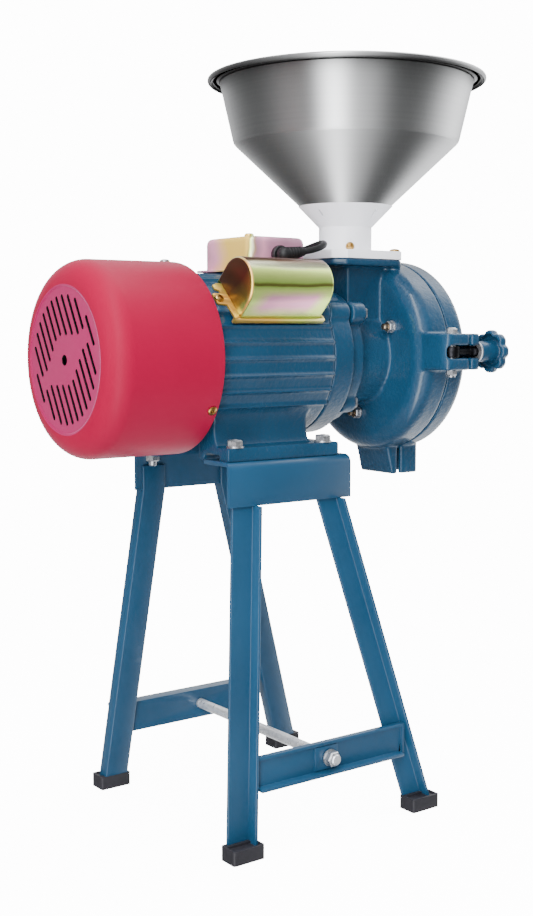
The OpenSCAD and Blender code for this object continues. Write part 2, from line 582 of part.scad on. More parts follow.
// ---- mill ----
module bowl2d(r, x0, c) { square([r - c, seam_x - x0]); translate([0, c]) square([r, seam_x - x0 - c]);
  translate([r - c, c]) circle(c); }
module chamfer_sq(w, c) polygon([[-w/2 + c, -w/2], [w/2 - c, -w/2], [w/2, -w/2 + c], [w/2, w/2 - c],
  [w/2 - c, w/2], [-w/2 + c, w/2], [-w/2, w/2 - c], [-w/2, -w/2 + c]]);
module xz(y0, y1) translate([0, y1, 0]) rotate([90, 0, 0]) linear_extrude(y1 - y0) children();
module eye_slot() block([latch_x - 10, -latch_y - 24, latch_z - slot_h], [300, -latch_y + eye_r + 1,
  latch_z + slot_h]);
stud_at = [[-50, 29], [50, 29], [0, -58]];
module mill_housing() color("steelblue") difference() {
  union() {
    cylx(mill_x0, lug_x1 - 0.6, 66);
    for (s = [-1, 1]) rotate([lug_turn * s, 0, 0]) at(0, lug) cylx(mill_x0 + 0.4, lug_x1, 11);
    for (s = [-1, 1]) rotate([135 * s, 0, 0]) at(0, low_bolt) cylx(mill_x0 + 0.4, lug_x1, 10);
    cylx(170, back_x + 1, 48);
    block([183, -32, 0], [229, 32, pad_z + 1]);
    translate([feed_x, 0, pad_z]) linear_extrude(pad_t) chamfer_sq(pad_w, 11);
    translate([back_x, 0, 0]) turned() translate([0, 0]) bowl2d(bowl_r, back_x, 17);
    xz(-25, 25) polygon([[239, chute_z], [250, spout_z], [257, spout_z], [257, 3 - bowl_r], [seam_x, 3 - bowl_r],
      [seam_x, chute_z]]);
    xy_ear();
    for (z = [[-22, -10], [10, 22]]) {
      block([248, bowl_r - 11, z[0]], [seam_x, hinge_y, z[1]]);
      translate([262, hinge_y, 0]) cylz(z[0], z[1], 8);
    }
  }
  translate([cav_x, 0, 0]) turned() intersection() { bowl2d(cav_r, cav_x - 5, 10); square(200); }
  cylx(178, cav_x + 1, bore_r);
  cylx(150, 180, 12);
  translate([feed_x, 0, 0]) cylz(0, pad_z + 32, throat_r);
  for (s = [-1, 1]) translate([feed_x + 34 * s, -36 * s, 0]) cylz(pad_z - 1, pad_z + 22, 3 + e);
  xz(-19, 19) polygon([[246.5, chute_z + 3], [255, spout_z - 1], [270, spout_z - 1], [270, chute_z + 3]]);
  eye_slot();
  translate([latch_x, -latch_y, 0]) cylz(-30, 40, 4 + e);
  translate([262, hinge_y, 0]) cylz(-30, 30, hinge_d / 2 + e);
  block([262 - 9, hinge_y - 9, -10], [280, hinge_y + 9, 10]);
  for (s = [-1, 1]) rotate([lug_turn * s, 0, 0]) at(0, lug) cylx(150, 180, 4 + e);
  for (s = [-1, 1]) rotate([135 * s, 0, 0]) at(0, low_bolt) cylx(150, 180, 4 + e);
  for (p = stud_at) at(p[0], p[1]) cylx(220, 240, 3 + e);
}
module xy_ear() translate([0, 0, latch_z - slot_h - 11.5]) linear_extrude(2 * slot_h + 23)
  translate([0, -latch_y]) polygon([[229, latch_out + 11], [229, -1], [230.2, -4.5], [232.5, -7], [236, -8],
    [259.5, -8], [259.5, latch_out + 11]]);
module mill_bolts() color("silver") {
  for (s = [-1, 1]) rotate([lug_turn * s, 0, 0]) at(0, lug) union() { cylx(116, lug_x1 + 0.5, 4); hexx(lug_x1, lug_x1 + 5.3, 13); }
  for (s = [-1, 1]) rotate([135 * s, 0, 0]) at(0, low_bolt) union() { cylx(149, lug_x1 + 0.5, 4);
    hexx(lug_x1, lug_x1 + 5.3, 13); }
}
module front_cover() color("steelblue") difference() {
  union() {
    difference() {
      translate([cover_x, 0, 0]) turned() union() {
        square([bowl_r, front_x - cover_x - 10]);
        square([bowl_r - 10, front_x - cover_x]);
        translate([bowl_r - 10, front_x - cover_x - 10]) circle(10);
      }
    }
    cylx(front_x - 1, 300, 22);
    xz(-25, 25) polygon([[261.5, spout_z], [284, spout_z], [284, chute_z], [cover_x, chute_z],
      [cover_x, 3 - bowl_r], [261.5, 3 - bowl_r]]);
    difference() {
      translate([0, 0, latch_z - arm_h]) linear_extrude(2 * arm_h)
        translate([0, -latch_y]) polygon([[261.5, -8], [261.5, latch_out + 7], [273, latch_out + 7], [273, 0],
            [271.9, -8]]);
      difference() {
        translate([latch_x, -latch_y, -50]) cylinder(h = 100, r = 50, $fn = 96);
        translate([latch_x, -latch_y, -51]) cylinder(h = 102, r = fork_r, $fn = 96);
        translate([200, 12 - latch_y, -60]) cube([100, 50, 120]);
      }
    }
    block([262, bowl_r - 9, -9.7], [272, hinge_y, 9.7]);
    translate([262, hinge_y, 0]) cylz(-9.7, 9.7, 8);
  }
  translate([cover_x - 1, 0, 0]) turned() square([cav_r, front_in - cover_x + 1]);
  xz(-19, 19) polygon([[255, spout_z - 1], [front_in, spout_z - 1], [front_in, chute_z + 3], [255, chute_z + 3]]);
  difference() { cylx(cover_x - 1, cover_x + 2.5, seal_r); cylx(cover_x - 2, cover_x + 3, seal_r - 3); seal_gap(); }
  block([250, -latch_y - 24, latch_z - slot_h], [300, 6.5 - latch_y, latch_z + slot_h]);
  translate([262, hinge_y, 0]) cylz(-30, 30, hinge_d / 2 + run);
  cylx(270, 310, adj_d / 2 + run);
}
module seal_gap() block([250, -27, -bowl_r - 5], [270, 27, 35 - bowl_r]);
module cover_seal() color("black") difference() {
  cylx(cover_x - 0.2, cover_x + 2.5, seal_r - e);
  cylx(cover_x - 2, cover_x + 3, seal_r - 3 + e);
  seal_gap();
}
module hinge_pin() color("silver") translate([262, hinge_y, 0]) union() {
  cylz(-24, 24, hinge_d / 2);
  cylz(22, 25, 6);
}
module grooves(x0, x1) spin(12) translate([x0, -1.5, 32]) cube([x1 - x0, 3, 50]);
module static_disc() color("gray") difference() {
  cylx(cav_x, cav_x + 10, disc_r);
  cylx(cav_x - 1, cav_x + 11, bore_r);
  grooves(cav_x + 8.5, cav_x + 12);
  for (p = stud_at) at(p[0], p[1]) cylx(cav_x - 1, cav_x + 6, 3 + e);
}
module disc_studs() color("silver") for (p = stud_at) at(p[0], p[1]) union() {
  cylx(213, cav_x + 5.5, 3);
  cylx(back_x - 1.6, back_x, 6);
  hexx(back_x - 6.6, back_x - 1.6, 10);
}
module feed_auger() color("gray") difference() {
  union() {
    cylx(184, 231, 14);
    flight(186, 229, 3, 1.5);
  }
  cylx(180, 240, shaft_r + e);
}
// a helical flight: thickness t, given number of turns
module flight(x0, x1, t, turns) {
  n = 36;
  pts = [for (i = [0:n]) let (a = 360 * turns * i / n, x = x0 + (x1 - x0 - t) * i / n)
    for (c = [[12, 0], [auger_r, 0], [auger_r, t], [12, t]]) [x + c[1], c[0] * cos(a), c[0] * sin(a)]];
  polyhedron(pts, concat([[3, 2, 1, 0]], [[n*4, n*4 + 1, n*4 + 2, n*4 + 3]],
    [for (i = [0:n - 1]) for (j = [0:3]) [i*4 + j, i*4 + (j + 1) % 4, (i + 1)*4 + (j + 1) % 4]],
    [for (i = [0:n - 1]) for (j = [0:3]) [i*4 + j, (i + 1)*4 + (j + 1) % 4, (i + 1)*4 + j]]));
}
module rotating_disc() color("gray") difference() {
  union() { cylx(244, 254, disc_r); cylx(253, 260, 17); }
  intersection() {
    cylx(243, 257.5, shaft_r + run);
    block([243, -20, -7.5 - run], [257.5, 20, 7.5 + run]);
  }
  grooves(243, 245.5);
}
pad_x = cover_x + gap;
module thrust_pad() color("silver") union() { cylx(pad_x, pad_x + 4, 12); }
module adjusting_screw() color("silver") cylx(pad_x + 4.1, 330, adj_d / 2);
module adjusting_knob() color("black") difference() {
  union() {
    cylx(314, 332, 14);
    cylx(320, 334, 26);
  }
  cylx(313, 330, adj_d / 2 + e);
  spin(8) translate([312, 0, 30]) rotate([0, 90, 0]) cylinder(h = 30, r = 7);
}
module adjusting_lock_nut() color("silver") difference() {
  hexx(300 + gap, 308.3, 24);
  cylx(299, 310, adj_d / 2 + e);
}
module latch_pin() color("silver") translate([latch_x, -latch_y, latch_z]) union() {
  cylz(-slot_h - 11.5 - 6.5, slot_h + 11.5 + 0.5, 4);
  hexz(slot_h + 11.5, slot_h + 11.5 + 5.3, 9.5);
  hexz(-slot_h - 11.5 - 5, -slot_h - 11.5, 9.5);
}
module eye_bolt() color("black") translate([latch_x, -latch_y, latch_z]) difference() {
  union() { cylz(-5.4, 5.4, eye_r - 0.3); cylx(0, 61, 5); }
  cylz(-10, 10, 4 + run);
}
module latch_washer() color("silver") translate([latch_x, -latch_y, latch_z]) difference() {
  cylx(fork_r + gap, fork_r + gap + 2, 10);
  cylx(20, 50, 5 + run);
}
star_x0 = fork_r + gap + 2 + 0.05;
module star_knob() color("steelblue") translate([latch_x, -latch_y, latch_z]) difference() {
  union() { cylx(star_x0, 57, 10); cylx(49, 58, star_r); }
  cylx(20, 80, 5 + run);
  difference() { cylx(48, 54.5, star_r - 4.4); cylx(47, 56, 10); }
  spin(8) translate([38, 0, star_r + 2.6]) rotate([0, 90, 0]) cylinder(h = 40, r = 5);
}

// ---- feed ----
module feed_collar() color("white") difference() {
  translate([feed_x, 0, 0]) union() {
    translate([0, 0, collar_z]) linear_extrude(8) chamfer_sq(pad_w, 11);
    cylz(collar_z, collar_z + neck_h + 0.2, neck_out);
    translate([0, 0, collar_z + neck_h]) cylinder(h = funnel_h, r1 = neck_out, r2 = mouth_r, $fn = 96);
  }
  translate([feed_x, 0, 0]) {
    cylz(collar_z - 5, collar_z + 5, throat_r);
    cylz(collar_z + 4.9, mouth_z - hop_d + 3, neck_r);
    translate([0, 0, mouth_z - hop_d]) cylinder(h = hop_d, r1 = neck_r, r2 = mouth_in, $fn = 96);
    translate([0, 0, mouth_z - 0.01]) cylinder(h = 2, r = mouth_in, $fn = 96);
    for (s = [-1, 1]) translate([34 * s, -36 * s, 0]) cylz(collar_z - 5, collar_z + 15, 3 + e);
    for (a = [-168, -82]) rotate([0, 0, a]) translate([34, -0.9, mouth_z - 12.5]) cube([12, 1.8, 7]);
    rotate([0, 0, -119.5]) translate([0, 0, collar_z + 12.4]) rotate([0, 90, 0]) cylz(15, 40, 2.5 + e);
  }
}
module collar_screws() color("goldenrod") translate([feed_x, 0, 0]) {
  for (s = [-1, 1]) translate([34 * s, -36 * s, 0]) difference() {
    union() { cylz(pad_z, collar_z + 8.5, 3); cylz(collar_z + 8, collar_z + 11, 5.2); }
    translate([-5.5, -0.6, collar_z + 9.8]) cube([11, 1.2, 3]);
  }
  rotate([0, 0, -119.5]) translate([0, 0, collar_z + 12.4]) rotate([0, 90, 0]) union() {
    cylz(neck_r + 0.3, neck_out + 1.7, 2.5);
    cylz(neck_out + 0.1, neck_out + 0.9, 4.2);
    cylz(neck_out + 0.9, neck_out + 3.5, 3.6);
  }
}
module hopper() color("lightgray") translate([feed_x, 0, 0]) rotate_extrude($fn = 128) union() {
  c = sheet / cos(atan(cone_k)) ;
  polygon([[neck_r - e, collar_z + 9], [neck_r - e, mouth_z - hop_d], [knuckle_r, knuckle_z], [rim_r - 12, rim_z - 4],
    [rim_r - 3, rim_z - 4], [rim_r - 3, rim_z - 4 + sheet], [rim_r - 12 - sheet, rim_z - 4 + sheet],
    [knuckle_r - sheet, knuckle_z + 0.6], [neck_r - e - sheet, mouth_z - hop_d + 0.6],
    [neck_r - e - sheet, collar_z + 9]]);
  translate([rim_r - 2.5, rim_z - 2.5]) circle(2.5, $fn = 24);
}

// ---- cord ----
module power_cord() color("black") { tube_path(lead, cord_d); tube_path(tail, cord_d); }
module stadium(r) {
  for (x = [22, 142]) translate([x, hank_y]) circle(r);
  translate([22, hank_y - r]) square([120, 2 * r]);
}
module cord_hank() color("black") union() {
  translate([0, 0, hank_z]) linear_extrude(hank_h) difference() { stadium(21); stadium(15); }
  translate([0, 97, hank_z + cord_d / 2]) cylx(140, 160, cord_d / 2);
  translate([0, 97, -49.9]) cylx(140, 150, cord_d / 2);
}
module cord_tie() color("dimgray") difference() {
  block([74, hank_y - 22, hank_z - 1], [90, hank_y + 22, hank_z + hank_h + 1]);
  block([73, hank_y - 21, hank_z], [91, hank_y + 21, hank_z + hank_h]);
}
module plug() color("black") union() {
  translate([0, 89.5, -35.8]) rotate([0, 90, 0]) translate([0, 0, 61]) cylinder(h = 25, r1 = 6.5, r2 = 3.8);
  translate([21, 77.5, hank_z + hank_h]) linear_extrude(34) rrect(40, 24, 3);
  for (z = [-9.5, 9.5]) translate([0, 89.5, -35.8 + z]) cylx(2, 22, 2.4);
}

// ---- placing ----
module place() translate([-mid_x, 0, shaft_height]) children();

place() near_rail();
place() far_rail();
place() near_left_leg();
place() near_right_leg();
place() far_left_leg();
place() far_right_leg();
place() near_crossbar();
place() far_crossbar();
place() tie_rod();
place() tie_rod_nuts();
place() rubber_boots();
place() foot_bolts();
place() foot_nuts();
place() motor_frame();
place() stator_core();
place() stator_windings();
place() rotor_core();
place() motor_shaft();
place() bearing_outer_rings();
place() bearing_inner_rings();
place() bearing_balls();
place() rear_end_shield();
place() rear_shield_screws();
place() drive_end_shield();
place() cooling_fan();
place() fan_cover();
place() fan_cover_screws();
place() terminal_box_base();
place() terminal_box_lid();
place() terminal_box_screw();
place() terminal_block();
place() cable_gland();
place() capacitor_bracket();
place() capacitor_cover();
place() capacitor();
place() capacitor_screws();
place() mill_housing();
place() mill_bolts();
place() front_cover();
place() cover_seal();
place() hinge_pin();
place() static_disc();
place() disc_studs();
place() feed_auger();
place() rotating_disc();
place() thrust_pad();
place() adjusting_screw();
place() adjusting_knob();
place() adjusting_lock_nut();
place() latch_pin();
place() eye_bolt();
place() latch_washer();
place() star_knob();
place() feed_collar();
place() collar_screws();
place() hopper();
place() power_cord();
place() cord_hank();
place() cord_tie();
place() plug();
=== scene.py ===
# An electric grain mill: a disc mill on the end of a foot-mounted motor, on a splayed angle-steel stand.
# Sizes are in millimetres in the mill's own frame: X runs along the shaft from the open edge of the fan
# cover, Z is measured up from the shaft, and the latch is on the -Y side. spot() turns a place into metres.
import json
import math
import bmesh
import bpy
from mathutils import Matrix, Vector

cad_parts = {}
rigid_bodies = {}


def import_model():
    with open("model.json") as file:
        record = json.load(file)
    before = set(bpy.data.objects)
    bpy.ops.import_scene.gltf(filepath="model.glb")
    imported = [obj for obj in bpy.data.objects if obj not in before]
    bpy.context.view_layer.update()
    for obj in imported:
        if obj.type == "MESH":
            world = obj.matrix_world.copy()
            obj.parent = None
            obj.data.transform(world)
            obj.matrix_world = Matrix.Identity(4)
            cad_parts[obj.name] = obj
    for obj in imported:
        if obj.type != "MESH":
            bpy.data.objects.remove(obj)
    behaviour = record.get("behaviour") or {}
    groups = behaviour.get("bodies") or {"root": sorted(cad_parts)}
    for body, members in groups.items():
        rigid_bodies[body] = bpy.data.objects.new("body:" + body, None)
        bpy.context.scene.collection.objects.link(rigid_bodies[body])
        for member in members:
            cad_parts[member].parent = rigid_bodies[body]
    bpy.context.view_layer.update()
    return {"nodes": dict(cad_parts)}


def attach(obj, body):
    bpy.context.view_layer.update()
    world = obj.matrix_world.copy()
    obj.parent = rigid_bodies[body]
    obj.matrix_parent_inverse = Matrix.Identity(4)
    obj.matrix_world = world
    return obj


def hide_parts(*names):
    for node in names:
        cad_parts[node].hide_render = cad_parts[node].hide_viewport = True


for left_over in list(bpy.data.objects):
    bpy.data.objects.remove(left_over)
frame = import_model()
MM = 0.001
SHAFT = Vector((-116.75, 0.0, 435.0))
X, Y, Z, CENTRE = (1, 0, 0), (0, 1, 0), (0, 0, 1), (0, 0, 0)

# Places that several pieces share
MILL_X = 206                              # centre line of the feed throat, the collar and the hopper
TIE_X, TIE_Z, BAR_OUT = 99, -365, 108.6   # the tie rod's axis, and the outer faces of the crossbars
LATCH = Vector((242, -116, 5))            # eye of the swing bolt
PLUG = (0, 89.5, -35.8)                   # axis of the plug
FEET = [(x, y) for x in (22, 122) for y in (-70, 70)]   # foot bolts of the motor
COWL_R, COWL_LONG, COWL_WALL = 87.5, 109.5, 1.5         # the fan cover
PLATE_X, PLATE_TOP, LID_X, LID_TALL = 91.5, 82, 94.5, 30   # the terminal box: its plate and its lid
HANK_X, HANK_Y, HANK_R = (22, 142), 79, 18   # the ends of the hank, its middle line and its bends


def spot(x, y, z):
    return (Vector((x, y, z)) + SHAFT) * MM


def place(name, data):
    """A new object in the scene that holds this data."""
    o = bpy.data.objects.new(name, data)
    bpy.context.scene.collection.objects.link(o)
    return o


def face(o, direction):
    o.rotation_mode = "QUATERNION"
    o.rotation_quaternion = Vector(direction).to_track_quat("-Z", "Y")


# ---------------------------------------------------------------- node trees
class Wiring:
    """A node tree being wired up: new nodes with their settings, links, and sums on values."""

    def __init__(self, tree):
        self.n, self.l = tree.nodes, tree.links
        self.n.clear()

    def feed(self, socket, value):
        if isinstance(value, bpy.types.NodeSocket):
            self.l.new(value, socket)
        elif value is not None:
            socket.default_value = value

    def add(self, kind, *inputs, **settings):
        """A new node: inputs are (socket, value or another node's output), settings are the node's own."""
        node = self.n.new(kind)
        for name, value in settings.items():
            setattr(node, name, value)
        for socket, value in inputs:
            self.feed(node.inputs[socket], value)
        return node

    def maths(self, how, a, b=None):
        return self.add("ShaderNodeMath", (0, a), (1, b), operation=how).outputs[0]

    def vector(self, how, a, b=None):
        out = self.add("ShaderNodeVectorMath", (0, a), (1, b), operation=how).outputs
        return out["Value" if how in ("DOT_PRODUCT", "LENGTH") else "Vector"]

    def rescaled(self, value, low=0, high=1, to_low=0, to_high=1, how="LINEAR"):
        return self.add("ShaderNodeMapRange", ("Value", value), ("From Min", low), ("From Max", high),
                        ("To Min", to_low), ("To Max", to_high), interpolation_type=how).outputs[0]

    def ramp(self, value, *stops):
        """Colours or brightnesses along a value, from (value, colour) pairs in rising order."""
        node = self.add("ShaderNodeValToRGB", ("Fac", value))
        ramp = node.color_ramp
        while len(ramp.elements) < len(stops):
            ramp.elements.new(0.5)
        for e, (position, colour) in zip(ramp.elements, stops):
            e.position = position
            e.color = (colour,) * 3 + (1,) if isinstance(colour, (int, float)) else (*colour, 1)
        return node.outputs["Color"]

    def either(self, fac, a, b):
        return self.add("ShaderNodeMixShader", (0, fac), (1, a), (2, b)).outputs[0]


# ---------------------------------------------------------------- camera, floor and lamps
CAMERA_YAW, CAMERA_PITCH = 53.6, -5.74
BACKDROP, ROOM_LIGHT, ROOM_DIM, OVERHEAD = 14.0, 6.0, 0.022, 0.1
MATT_GLOW = 2.2                           # what the lit matt floor gives by itself
# Tall soft panels round the machine: heading in degrees from the camera, half width in degrees, brightness.
PANELS = [(-15, 11, 1.35), (13, 19, 0.16), (-58, 24, 0.05), (128, 26, 0.42), (180, 38, 0.17)]
# Brightness of the panels from straight down, 0, through the horizon, 0.5, to straight up, 1; doubled in use.
HEIGHTS = [(0.0, 0.05), (0.08, 0.25), (0.2, 0.8), (0.42, 0.5), (0.74, 0.5), (1.0, 1.0)]
# Lamps: name, place in metres, width, watts, height. They light the paint and stay out of reflections.
LAMPS = [("front", (-1.5, -1.6, 1.4), 0.7, 46, 1.4), ("left", (-2.1, 0.1, 0.9), 0.7, 20, 1.2),
         ("right", (1.95, -0.3, 1.5), 1.0, 40, 1.4), ("top", (-0.1, -0.1, 2.1), 1.2, 24, 1.2)]
LAMP_AIM = Vector((0.02, 0, 0.4))


def set_camera():
    lens = bpy.data.cameras.new("camera")
    lens.sensor_fit, lens.sensor_width, lens.sensor_height, lens.lens = "VERTICAL", 36, 36, 50.82
    eye = place("camera", lens)
    eye.location = (-0.75035, -1.0064, 0.4627)
    y, p = math.radians(CAMERA_YAW), math.radians(CAMERA_PITCH)
    face(eye, (math.cos(p) * math.cos(y), math.cos(p) * math.sin(y), math.sin(p)))
    bpy.context.scene.camera = eye


def lamps():
    for name, where, width, watts, tall in LAMPS:
        light = bpy.data.lights.new(name, "AREA")
        light.shape, light.size, light.size_y, light.energy = "RECTANGLE", width, tall, watts
        o = place(name, light)
        o.location = where
        face(o, LAMP_AIM - o.location)
        o.visible_glossy = False


def room():
    """A pale backdrop for the camera, and for all else a dim room with tall soft panels and a lit ceiling."""
    world = bpy.data.worlds.new("studio")
    bpy.context.scene.world = world
    world.use_nodes = True
    w = Wiring(world.node_tree)
    towards = w.add("ShaderNodeTexCoord").outputs["Generated"]
    rise = w.add("ShaderNodeSeparateXYZ", (0, towards)).outputs["Z"]
    level = w.vector("NORMALIZE", w.vector("MULTIPLY", towards, (1, 1, 0)))
    light = ROOM_DIM
    for heading, width, bright in PANELS:
        a = math.radians(CAMERA_YAW + 180 + heading)
        facing = w.vector("DOT_PRODUCT", level, (math.cos(a), math.sin(a), 0))
        fall = w.maths("DIVIDE", w.maths("SUBTRACT", facing, 1.0), 1 - math.cos(math.radians(width)))
        light = w.maths("ADD", w.maths("MULTIPLY", w.maths("EXPONENT", fall), bright), light)
    height = w.ramp(w.maths("MULTIPLY", w.maths("ADD", rise, 1.0), 0.5), *HEIGHTS)
    light = w.maths("MULTIPLY", w.maths("MULTIPLY", light, height), 2.0)
    light = w.maths("ADD", light, w.rescaled(rise, 0.5, 1.0, 0, OVERHEAD, "SMOOTHSTEP"))
    felt = w.add("ShaderNodeBackground", ("Color", (0.97, 0.985, 1.0, 1)),
                 ("Strength", w.maths("MULTIPLY", light, ROOM_LIGHT)))
    seen = w.add("ShaderNodeBackground", ("Color", (1, 1, 1, 1)), ("Strength", BACKDROP))
    looking = w.add("ShaderNodeLightPath").outputs["Is Camera Ray"]
    w.add("ShaderNodeOutputWorld", ("Surface", w.either(looking, felt.outputs[0], seen.outputs[0])))


def pale_floor():
    """A matt floor near the machine, which fades into the backdrop and keeps out of reflections."""
    mesh = bpy.data.meshes.new("floor")
    mesh.from_pydata([(-12, -12, 0), (12, -12, 0), (12, 12, 0), (-12, 12, 0)], [], [(0, 1, 2, 3)])
    m = bpy.data.materials.new("pale floor")
    m.use_nodes = True
    w = Wiring(m.node_tree)
    matt = w.add("ShaderNodeBsdfDiffuse", ("Color", (0.8, 0.8, 0.81, 1))).outputs[0]
    glow = w.add("ShaderNodeEmission", ("Strength", BACKDROP)).outputs[0]
    dim = w.add("ShaderNodeEmission", ("Strength", BACKDROP - MATT_GLOW)).outputs[0]
    lit = w.add("ShaderNodeAddShader", (0, matt), (1, dim)).outputs[0]
    clear = w.add("ShaderNodeBsdfTransparent").outputs[0]
    ray = w.add("ShaderNodeLightPath").outputs
    away = w.vector("LENGTH", w.add("ShaderNodeTexCoord").outputs["Object"])
    reach = w.rescaled(away, 0.3, 0.95, how="SMOOTHSTEP")
    felt = w.either(w.maths("MAXIMUM", reach, ray["Is Glossy Ray"]), matt, clear)
    w.add("ShaderNodeOutputMaterial",
          ("Surface", w.either(ray["Is Camera Ray"], felt, w.either(reach, lit, glow))))
    mesh.materials.append(m)
    place("floor", mesh)


# ---------------------------------------------------------------- cord route
LEAD = [[107.3, -50.8, 97.3], [113, -52.4, 98.3], [119, -54, 99.4], [126, -54.9, 101.2], [133, -53.6, 103.5],
        [139.2, -49.4, 105.8], [143.6, -42.8, 107.3], [146.3, -34.5, 107.6], [147.8, -25, 106.6],
        [148.8, -14, 104.8], [149.7, 3, 102], [151, 20, 100], [153, 36, 95.5], [156, 52, 87], [159.5, 66, 74],
        [164, 78, 58], [170, 87, 40], [176.5, 93, 20], [181.5, 96, 0], [184.8, 97, -16], [186, 97, -29.8],
        [186, 97, -41.8], [184.3, 97, -51], [179.2, 97, -59.4], [171.5, 97, -65.2], [165.5, 97, -67.4],
        [160, 97, -67.8]]
TAIL = [[132, 97, -49.7], [122, 96.3, -48.2], [112, 94, -44.2], [102, 91.2, -39], [93, 89.7, -36.1],
        [86, 89.5, -35.8]]


def hank_turns(first, pitch, last_rise, turns):
    """The wound part: long runs on both sides, turned round at both ends, one cord higher each turn."""
    points, z = [], first
    (low, high), inner, outer = HANK_X, HANK_Y - HANK_R, HANK_Y + HANK_R
    bend = [math.pi * k / 8 for k in range(9)]
    for turn in range(turns):
        step = pitch if turn < turns - 1 else last_rise
        points += [[x, outer, z] for x in (142, 122, 102, 82, 62, 42)]
        points += [[low - HANK_R * math.sin(a), HANK_Y + HANK_R * math.cos(a), z] for a in bend]
        points += [[x, inner, z] for x in (42, 62, 82, 102, 122)]
        for a in bend[:-1]:
            rise = min(1.0, a / (0.75 * math.pi))
            points.append([high + HANK_R * math.sin(a), HANK_Y - HANK_R * math.cos(a),
                           z + step * rise * rise * (3 - 2 * rise)])
        z += pitch
    points.append([high, outer, z - pitch + last_rise])
    return points


def smooth_route(points, gap=3.0):
    """Points every few millimetres on a smooth curve through the given ones."""
    p = [Vector(q) for q in points]
    p = [2 * p[0] - p[1]] + p + [2 * p[-1] - p[-2]]
    out = []
    for i in range(1, len(p) - 2):
        n = max(1, round((p[i + 1] - p[i]).length / gap))
        d0, d1, d2 = (max((p[j + 1] - p[j]).length, 1e-6) ** 0.5 for j in (i - 1, i, i + 1))
        m1 = (p[i + 1] - p[i]) - (p[i + 1] - p[i - 1]) * (d1 / (d0 + d1)) + (p[i] - p[i - 1]) * (d1 / d0)
        m2 = (p[i + 1] - p[i]) - (p[i + 2] - p[i]) * (d1 / (d1 + d2)) + (p[i + 2] - p[i + 1]) * (d1 / d2)
        for k in range(n):
            t = k / n
            out.append((2 * t**3 - 3 * t**2 + 1) * p[i] + (t**3 - 2 * t**2 + t) * m1
                       + (3 * t**2 - 2 * t**3) * p[i + 1] + (t**3 - t**2) * m2)
    return out + [p[-2]]


# ---------------------------------------------------------------- mesh tools
def workpiece(name, verts, faces):
    """A new mesh object from points in millimetres, lying at the origin."""
    mesh = bpy.data.meshes.new(name)
    mesh.from_pydata([spot(*v) for v in verts], [], faces)
    mesh.update()
    return place(name, mesh)


def axes(direction):
    """Three right-angled unit vectors, the last along direction."""
    w = Vector(direction).normalized()
    u = Vector(Z) - w * w.z
    if u.length < 1e-4:
        u = Vector(X) - w * w.x
    u.normalize()
    return u, w.cross(u), w


def outward(o):
    b = bmesh.new()
    b.from_mesh(o.data)
    bmesh.ops.remove_doubles(b, verts=b.verts, dist=1e-6)
    bmesh.ops.recalc_face_normals(b, faces=b.faces)
    b.to_mesh(o.data)
    b.free()
    return o


def turned(name, outline, centre=CENTRE, direction=X, steps=96):
    """A shape turned round an axis: outline is (radius, distance along the axis), a loop or axis to axis."""
    u, v, w = axes(direction)
    c = Vector(centre)
    open_ended = outline[0][0] < 1e-6 and outline[-1][0] < 1e-6
    verts, rings = [], []
    for r, d in outline:
        if r < 1e-6:
            rings.append([len(verts)] * steps)
            verts.append(c + w * d)
            continue
        rings.append(list(range(len(verts), len(verts) + steps)))
        for k in range(steps):
            a = 2 * math.pi * k / steps
            verts.append(c + w * d + (u * math.cos(a) + v * math.sin(a)) * r)
    faces = []
    for i in range(len(rings) - 1 if open_ended else len(rings)):
        a, b = rings[i], rings[(i + 1) % len(rings)]
        for k in range(steps):
            f = [a[k], a[(k + 1) % steps], b[(k + 1) % steps], b[k]]
            f = [x for j, x in enumerate(f) if x != f[j - 1]]
            if len(f) > 2:
                faces.append(f)
    return outward(workpiece(name, verts, faces))


def pressed(name, outline, low, high, centre=CENTRE, u=X, v=Y, w=Z):
    """A prism: a flat outline on u and v, drawn from low to high along w."""
    c, u, v, w = (Vector(q) for q in (centre, u, v, w))
    n = len(outline)
    verts = [c + u * a + v * b + w * d for d in (low, high) for a, b in outline]
    faces = [list(range(n))[::-1], list(range(n, 2 * n))]
    faces += [[k, (k + 1) % n, n + (k + 1) % n, n + k] for k in range(n)]
    return outward(workpiece(name, verts, faces))


def corner_run(points, radius, steps=6):
    """A closed outline with its corners rounded to radius, or to a radius for each corner."""
    out, n = [], len(points)
    for i, p in enumerate(points):
        r = radius[i] if hasattr(radius, "__len__") else radius
        a, b, c = Vector(points[i - 1]), Vector(p), Vector(points[(i + 1) % n])
        x, y = (a - b).normalized(), (c - b).normalized()
        half = x.angle(y) / 2
        if r <= 0 or half > 1.55:
            out.append(tuple(b))
            continue
        d = r / math.tan(half)
        mid = b + (x + y).normalized() * (r / math.sin(half))
        s, e = b + x * d - mid, b + y * d - mid
        turn = s.angle(e)
        for k in range(steps + 1):
            t = k / steps
            out.append(tuple(mid + (s * math.sin((1 - t) * turn) + e * math.sin(t * turn)) / math.sin(turn)))
    return out


def wall(rows, n):
    """Faces between rows of n points that lie one after another."""
    return [[i * n + k, i * n + (k + 1) % n, (i + 1) * n + (k + 1) % n, (i + 1) * n + k]
            for i in range(rows - 1) for k in range(n)]


def ribs(x, end, pitch, radius, rib, groove):
    """Outline of a sleeve's ribs from x on: radius(x) is its size, rib a length, groove its two ends."""
    out = []
    while x < end:
        r = radius(x)
        out += [(r, x), (r, x + rib), (r - 0.9, x + groove[0]), (r - 0.9, x + groove[1])]
        x += pitch
    return out


def box(x0, y0, x1, y1):
    return [(x0, y0), (x1, y0), (x1, y1), (x0, y1)]


def rounded_box(w, h, r):
    return corner_run(box(-w / 2, -h / 2, w / 2, h / 2), r)


